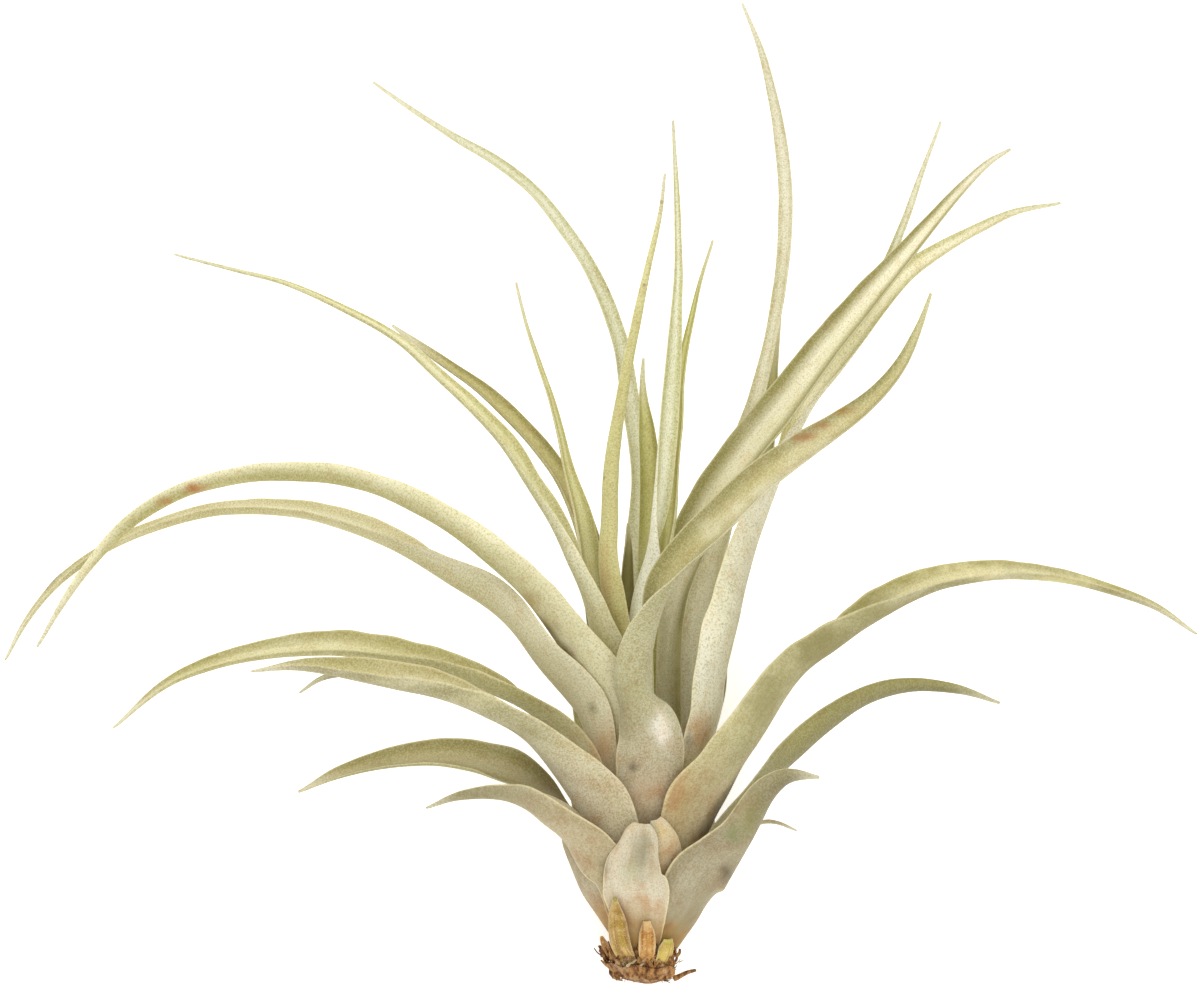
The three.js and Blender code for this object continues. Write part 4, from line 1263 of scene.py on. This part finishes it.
@dataclass
class Roots:
    """The wiry root, and the torn flakes and fibres of the cup.

    Attributes:
        root: the wiry root's points, in the plant's axes.
        pith: x and y of the pale patches.
        flakes: how many torn flakes.
        fibres: how many loose fibres.
        seed: number that fixes their places.
    """

    root: tuple[Point, ...] = ((5.6, -0.8, 1.8), (6.8, -0.3, 1.8), (8.4, 0.5, 1.7), (10.3, 1, 1.4))
    pith: tuple[tuple[float, float], ...] = ((-3.6, 1.7), (-2.6, 2.3), (-1.2, 1.5))
    flakes: int = 190
    fibres: int = 110
    seed: int = 5

    def strand(self, bm: bmesh.types.BMesh, spots: list[Vector], thick: float, sides: int = 6,
               flat: float = 1.0, taper: float = 0.4) -> None:
        """Adds a tapering strand to a mesh.

        Args:
            bm: the mesh.
            spots: its points, in the plant's axes.
            thick: its half width at the start.
            sides: sides of its section.
            flat: its thickness as a share of its width.
            taper: its width at the end as a share of that at the start.
        """
        line = LeafLine(spots, [1.0] * len(spots), 40)
        ring = Ring(bm, sides)
        first = ring.edges()
        count = 4 * (len(spots) - 1)
        for k in range(count + 1):
            if k:
                ring.grow()
            t = line.last * k / count
            along = line.along(t)
            side = along.orthogonal().normalized() if abs(along.y) > 0.99 else along.cross(
                Vector((0, 1, 0))).normalized()
            other = along.cross(side) * flat
            r = thick * mix(1.0, taper, k / count)
            for vert, (a, b) in zip(ring.verts, ring.circle):
                vert.co = lie_down(line.point(t) + side * (a * r) + other * (b * r))
        for loop in (first, ring.edges()):
            bmesh.ops.contextual_create(bm, geom=loop)

    def flaked(self, rng: random.Random) -> bmesh.types.BMesh:
        """Makes the flakes that stand round the front and the left of the cup.

        Args:
            rng: where their places come from.

        Returns:
            The mesh.
        """
        bm = bmesh.new()
        for _ in range(self.flakes):
            turn = rng.uniform(-0.95, 1.6)
            out = Vector((-math.sin(turn), 0, math.cos(turn)))
            tangent = Vector((out.z, 0, -out.x))
            low = rng.uniform(-0.9, 4.8)
            reach = mix(5.6, 8.2, smooth(-1.0, 4.6, low)) + rng.uniform(-0.3, 0.5)
            start = out * reach + Vector((0, low, 0))
            way = Vector((0, 1, 0)) * rng.uniform(0.5, 1) + tangent * rng.uniform(-0.7, 0.7)
            way = (way + out * rng.uniform(0.1, 0.6)).normalized()
            length = rng.uniform(0.9, 2.6)
            bow = out * rng.uniform(0.0, 0.4)
            spots = [start, start + way * (length / 2) + bow, start + way * length]
            self.strand(bm, spots, rng.uniform(0.3, 0.85), 6, 0.3, rng.uniform(0.2, 0.8))
        return bm

    def frayed(self, rng: random.Random) -> bmesh.types.BMesh:
        """Makes the loose fibres.

        Args:
            rng: where their places come from.

        Returns:
            The mesh.
        """
        bm = bmesh.new()
        for _ in range(self.fibres):
            turn = rng.uniform(-1.3, 1.8)
            out = Vector((-math.sin(turn), 0, math.cos(turn)))
            low = rng.uniform(-1.2, 3.0)
            start = out * mix(4.6, 7.2, smooth(-1.2, 3.0, low)) + Vector((0, low, 0))
            outward = out * rng.uniform(0.1, 0.9)
            stray = (rng.uniform(-0.8, 0.8), rng.uniform(-0.6, 0.9), rng.uniform(-0.5, 0.5))
            way = (outward + Vector(stray)).normalized()
            length = rng.uniform(0.8, 2.2)
            sway = Vector([rng.uniform(-0.4, 0.4) for _ in range(3)])
            spots = [start, start + way * length * 0.5 + sway * 0.5, start + way * length]
            self.strand(bm, spots, rng.uniform(0.08, 0.2), 5)
        return bm

    def build(self) -> list[bpy.types.Object]:
        """Builds the root, the flakes, the fibres and the pale pith that shows among them.

        Returns:
            The pieces.
        """
        rng = random.Random(self.seed)
        root = bmesh.new()
        self.strand(root, [Vector(p) for p in self.root], 0.7, 8, 1.0, 0.5)
        pith = bmesh.new()
        for x, y in self.pith:
            self.strand(pith, [Vector((x, y, 7.3)), Vector((x + 0.5, y + 0.5, 7.6)),
                               Vector((x + 0.9, y + 0.9, 7.4))], 0.6, 7, 0.6, 0.6)
        made = ((root, "root_fibre", "root", True, 1), (pith, "pale_pith", "stem", False, 1),
                (self.flaked(rng), "torn_flakes", "root", False, 0),
                (self.frayed(rng), "torn_fibres", "root", False, 0))
        pieces = []
        for bm, name, slot, standing, rounds in made:
            bmesh.ops.recalc_face_normals(bm, faces=bm.faces[:])
            pieces.append(finish_piece(bm, name, slot, standing, rounds))
        return pieces


@dataclass(frozen=True)
class Lamp:
    """A soft square lamp.

    Attributes:
        name: its name.
        spot: where it stands.
        aim: what it points at.
        size: its width.
        power: its power in watts.
    """

    name: str
    spot: Point
    aim: Point
    size: float
    power: float

    def hang(self) -> None:
        """Adds the lamp to the scene."""
        data = bpy.data.lights.new(self.name, "AREA")
        data.shape = "SQUARE"
        data.size = self.size
        data.energy = self.power
        lamp = bpy.data.objects.new(self.name, data)
        lamp.location = self.spot
        way = Vector(self.aim) - Vector(self.spot)
        lamp.rotation_euler = way.to_track_quat("-Z", "Y").to_euler()
        bpy.context.scene.collection.objects.link(lamp)


@dataclass
class Studio:
    """The pale floor, the soft light and the camera over the plant.

    Attributes:
        view: width of the picture, in metres on the plant's own plane.
        centre: what the picture's middle shows, in the plant's axes.
        away: the camera's distance.
        sky: strength of the light from all round.
        lamps: the lamps.
    """

    view: float = 0.24
    centre: Point = (-9.0, 96.1, 0.0)
    away: float = 1.2
    sky: float = 0.7
    lamps: tuple[Lamp, ...] = (
        Lamp("key_lamp", (-0.3, 0.95, 0.75), (0, 0, 0.02), 0.8, 8.5),
        Lamp("fill_lamp", (0.15, -0.6, 1.0), (0, -0.04, 0.02), 0.9, 5.5),
    )

    def floor(self) -> None:
        """Lays the pale floor just under the plant."""
        bm = bmesh.new()
        bmesh.ops.create_grid(bm, x_segments=1, y_segments=1, size=3.0)
        bmesh.ops.translate(bm, verts=bm.verts[:], vec=(0, 0, -0.0003))
        mesh = bpy.data.meshes.new("floor")
        bm.to_mesh(mesh)
        bm.free()
        floor = bpy.data.objects.new("floor", mesh)
        bpy.context.scene.collection.objects.link(floor)
        pale = Graph("pale_floor", 0.9)
        pale.put(pale.shader.inputs["Base Color"], rgb("f7f7f5"))
        pale.put(pale.shader.inputs["Emission Color"], rgb("ffffff"))
        pale.put(pale.shader.inputs["Emission Strength"], 0.5)
        mesh.materials.append(pale.material)

    def light(self) -> None:
        """Lights the plant softly from all round, with two lamps."""
        world = bpy.data.worlds.new("studio")
        world.use_nodes = True
        world.node_tree.nodes["Background"].inputs["Color"].default_value = (1, 1, 1, 1)
        world.node_tree.nodes["Background"].inputs["Strength"].default_value = self.sky
        scene = bpy.context.scene
        scene.world = world
        scene.view_settings.view_transform = "Standard"
        scene.view_settings.look = "None"
        for lamp in self.lamps:
            lamp.hang()

    def camera(self) -> None:
        """Sets the camera straight over the plant's own plane, with its stem upright."""
        lean = math.radians(LEAN)
        aim = lie_down(Vector(self.centre))
        back = Vector((0, -math.sin(lean), math.cos(lean)))
        up = Vector((0, math.cos(lean), math.sin(lean)))
        data = bpy.data.cameras.new("camera")
        data.type = "ORTHO"
        data.ortho_scale = self.view
        data.clip_start, data.clip_end = 0.01, 10.0
        camera = bpy.data.objects.new("camera", data)
        turned = Matrix((up.cross(back), up, back)).transposed().to_4x4()
        camera.matrix_world = Matrix.Translation(aim + back * self.away) @ turned
        bpy.context.scene.collection.objects.link(camera)
        bpy.context.scene.camera = camera

    def build(self) -> None:
        """Sets the stage."""
        self.floor()
        self.light()
        self.camera()


def main() -> None:
    """Builds the plant and the studio."""
    logging.basicConfig(level=logging.INFO, format="%(message)s")
    Studio().build()
    for part in (Rosette(LEAVES + SCALES), Foot(), Roots()):
        for piece in part.build():
            LOG.info("%s: %d faces", piece.name, len(piece.data.polygons))


if __name__ == "__main__":
    main()
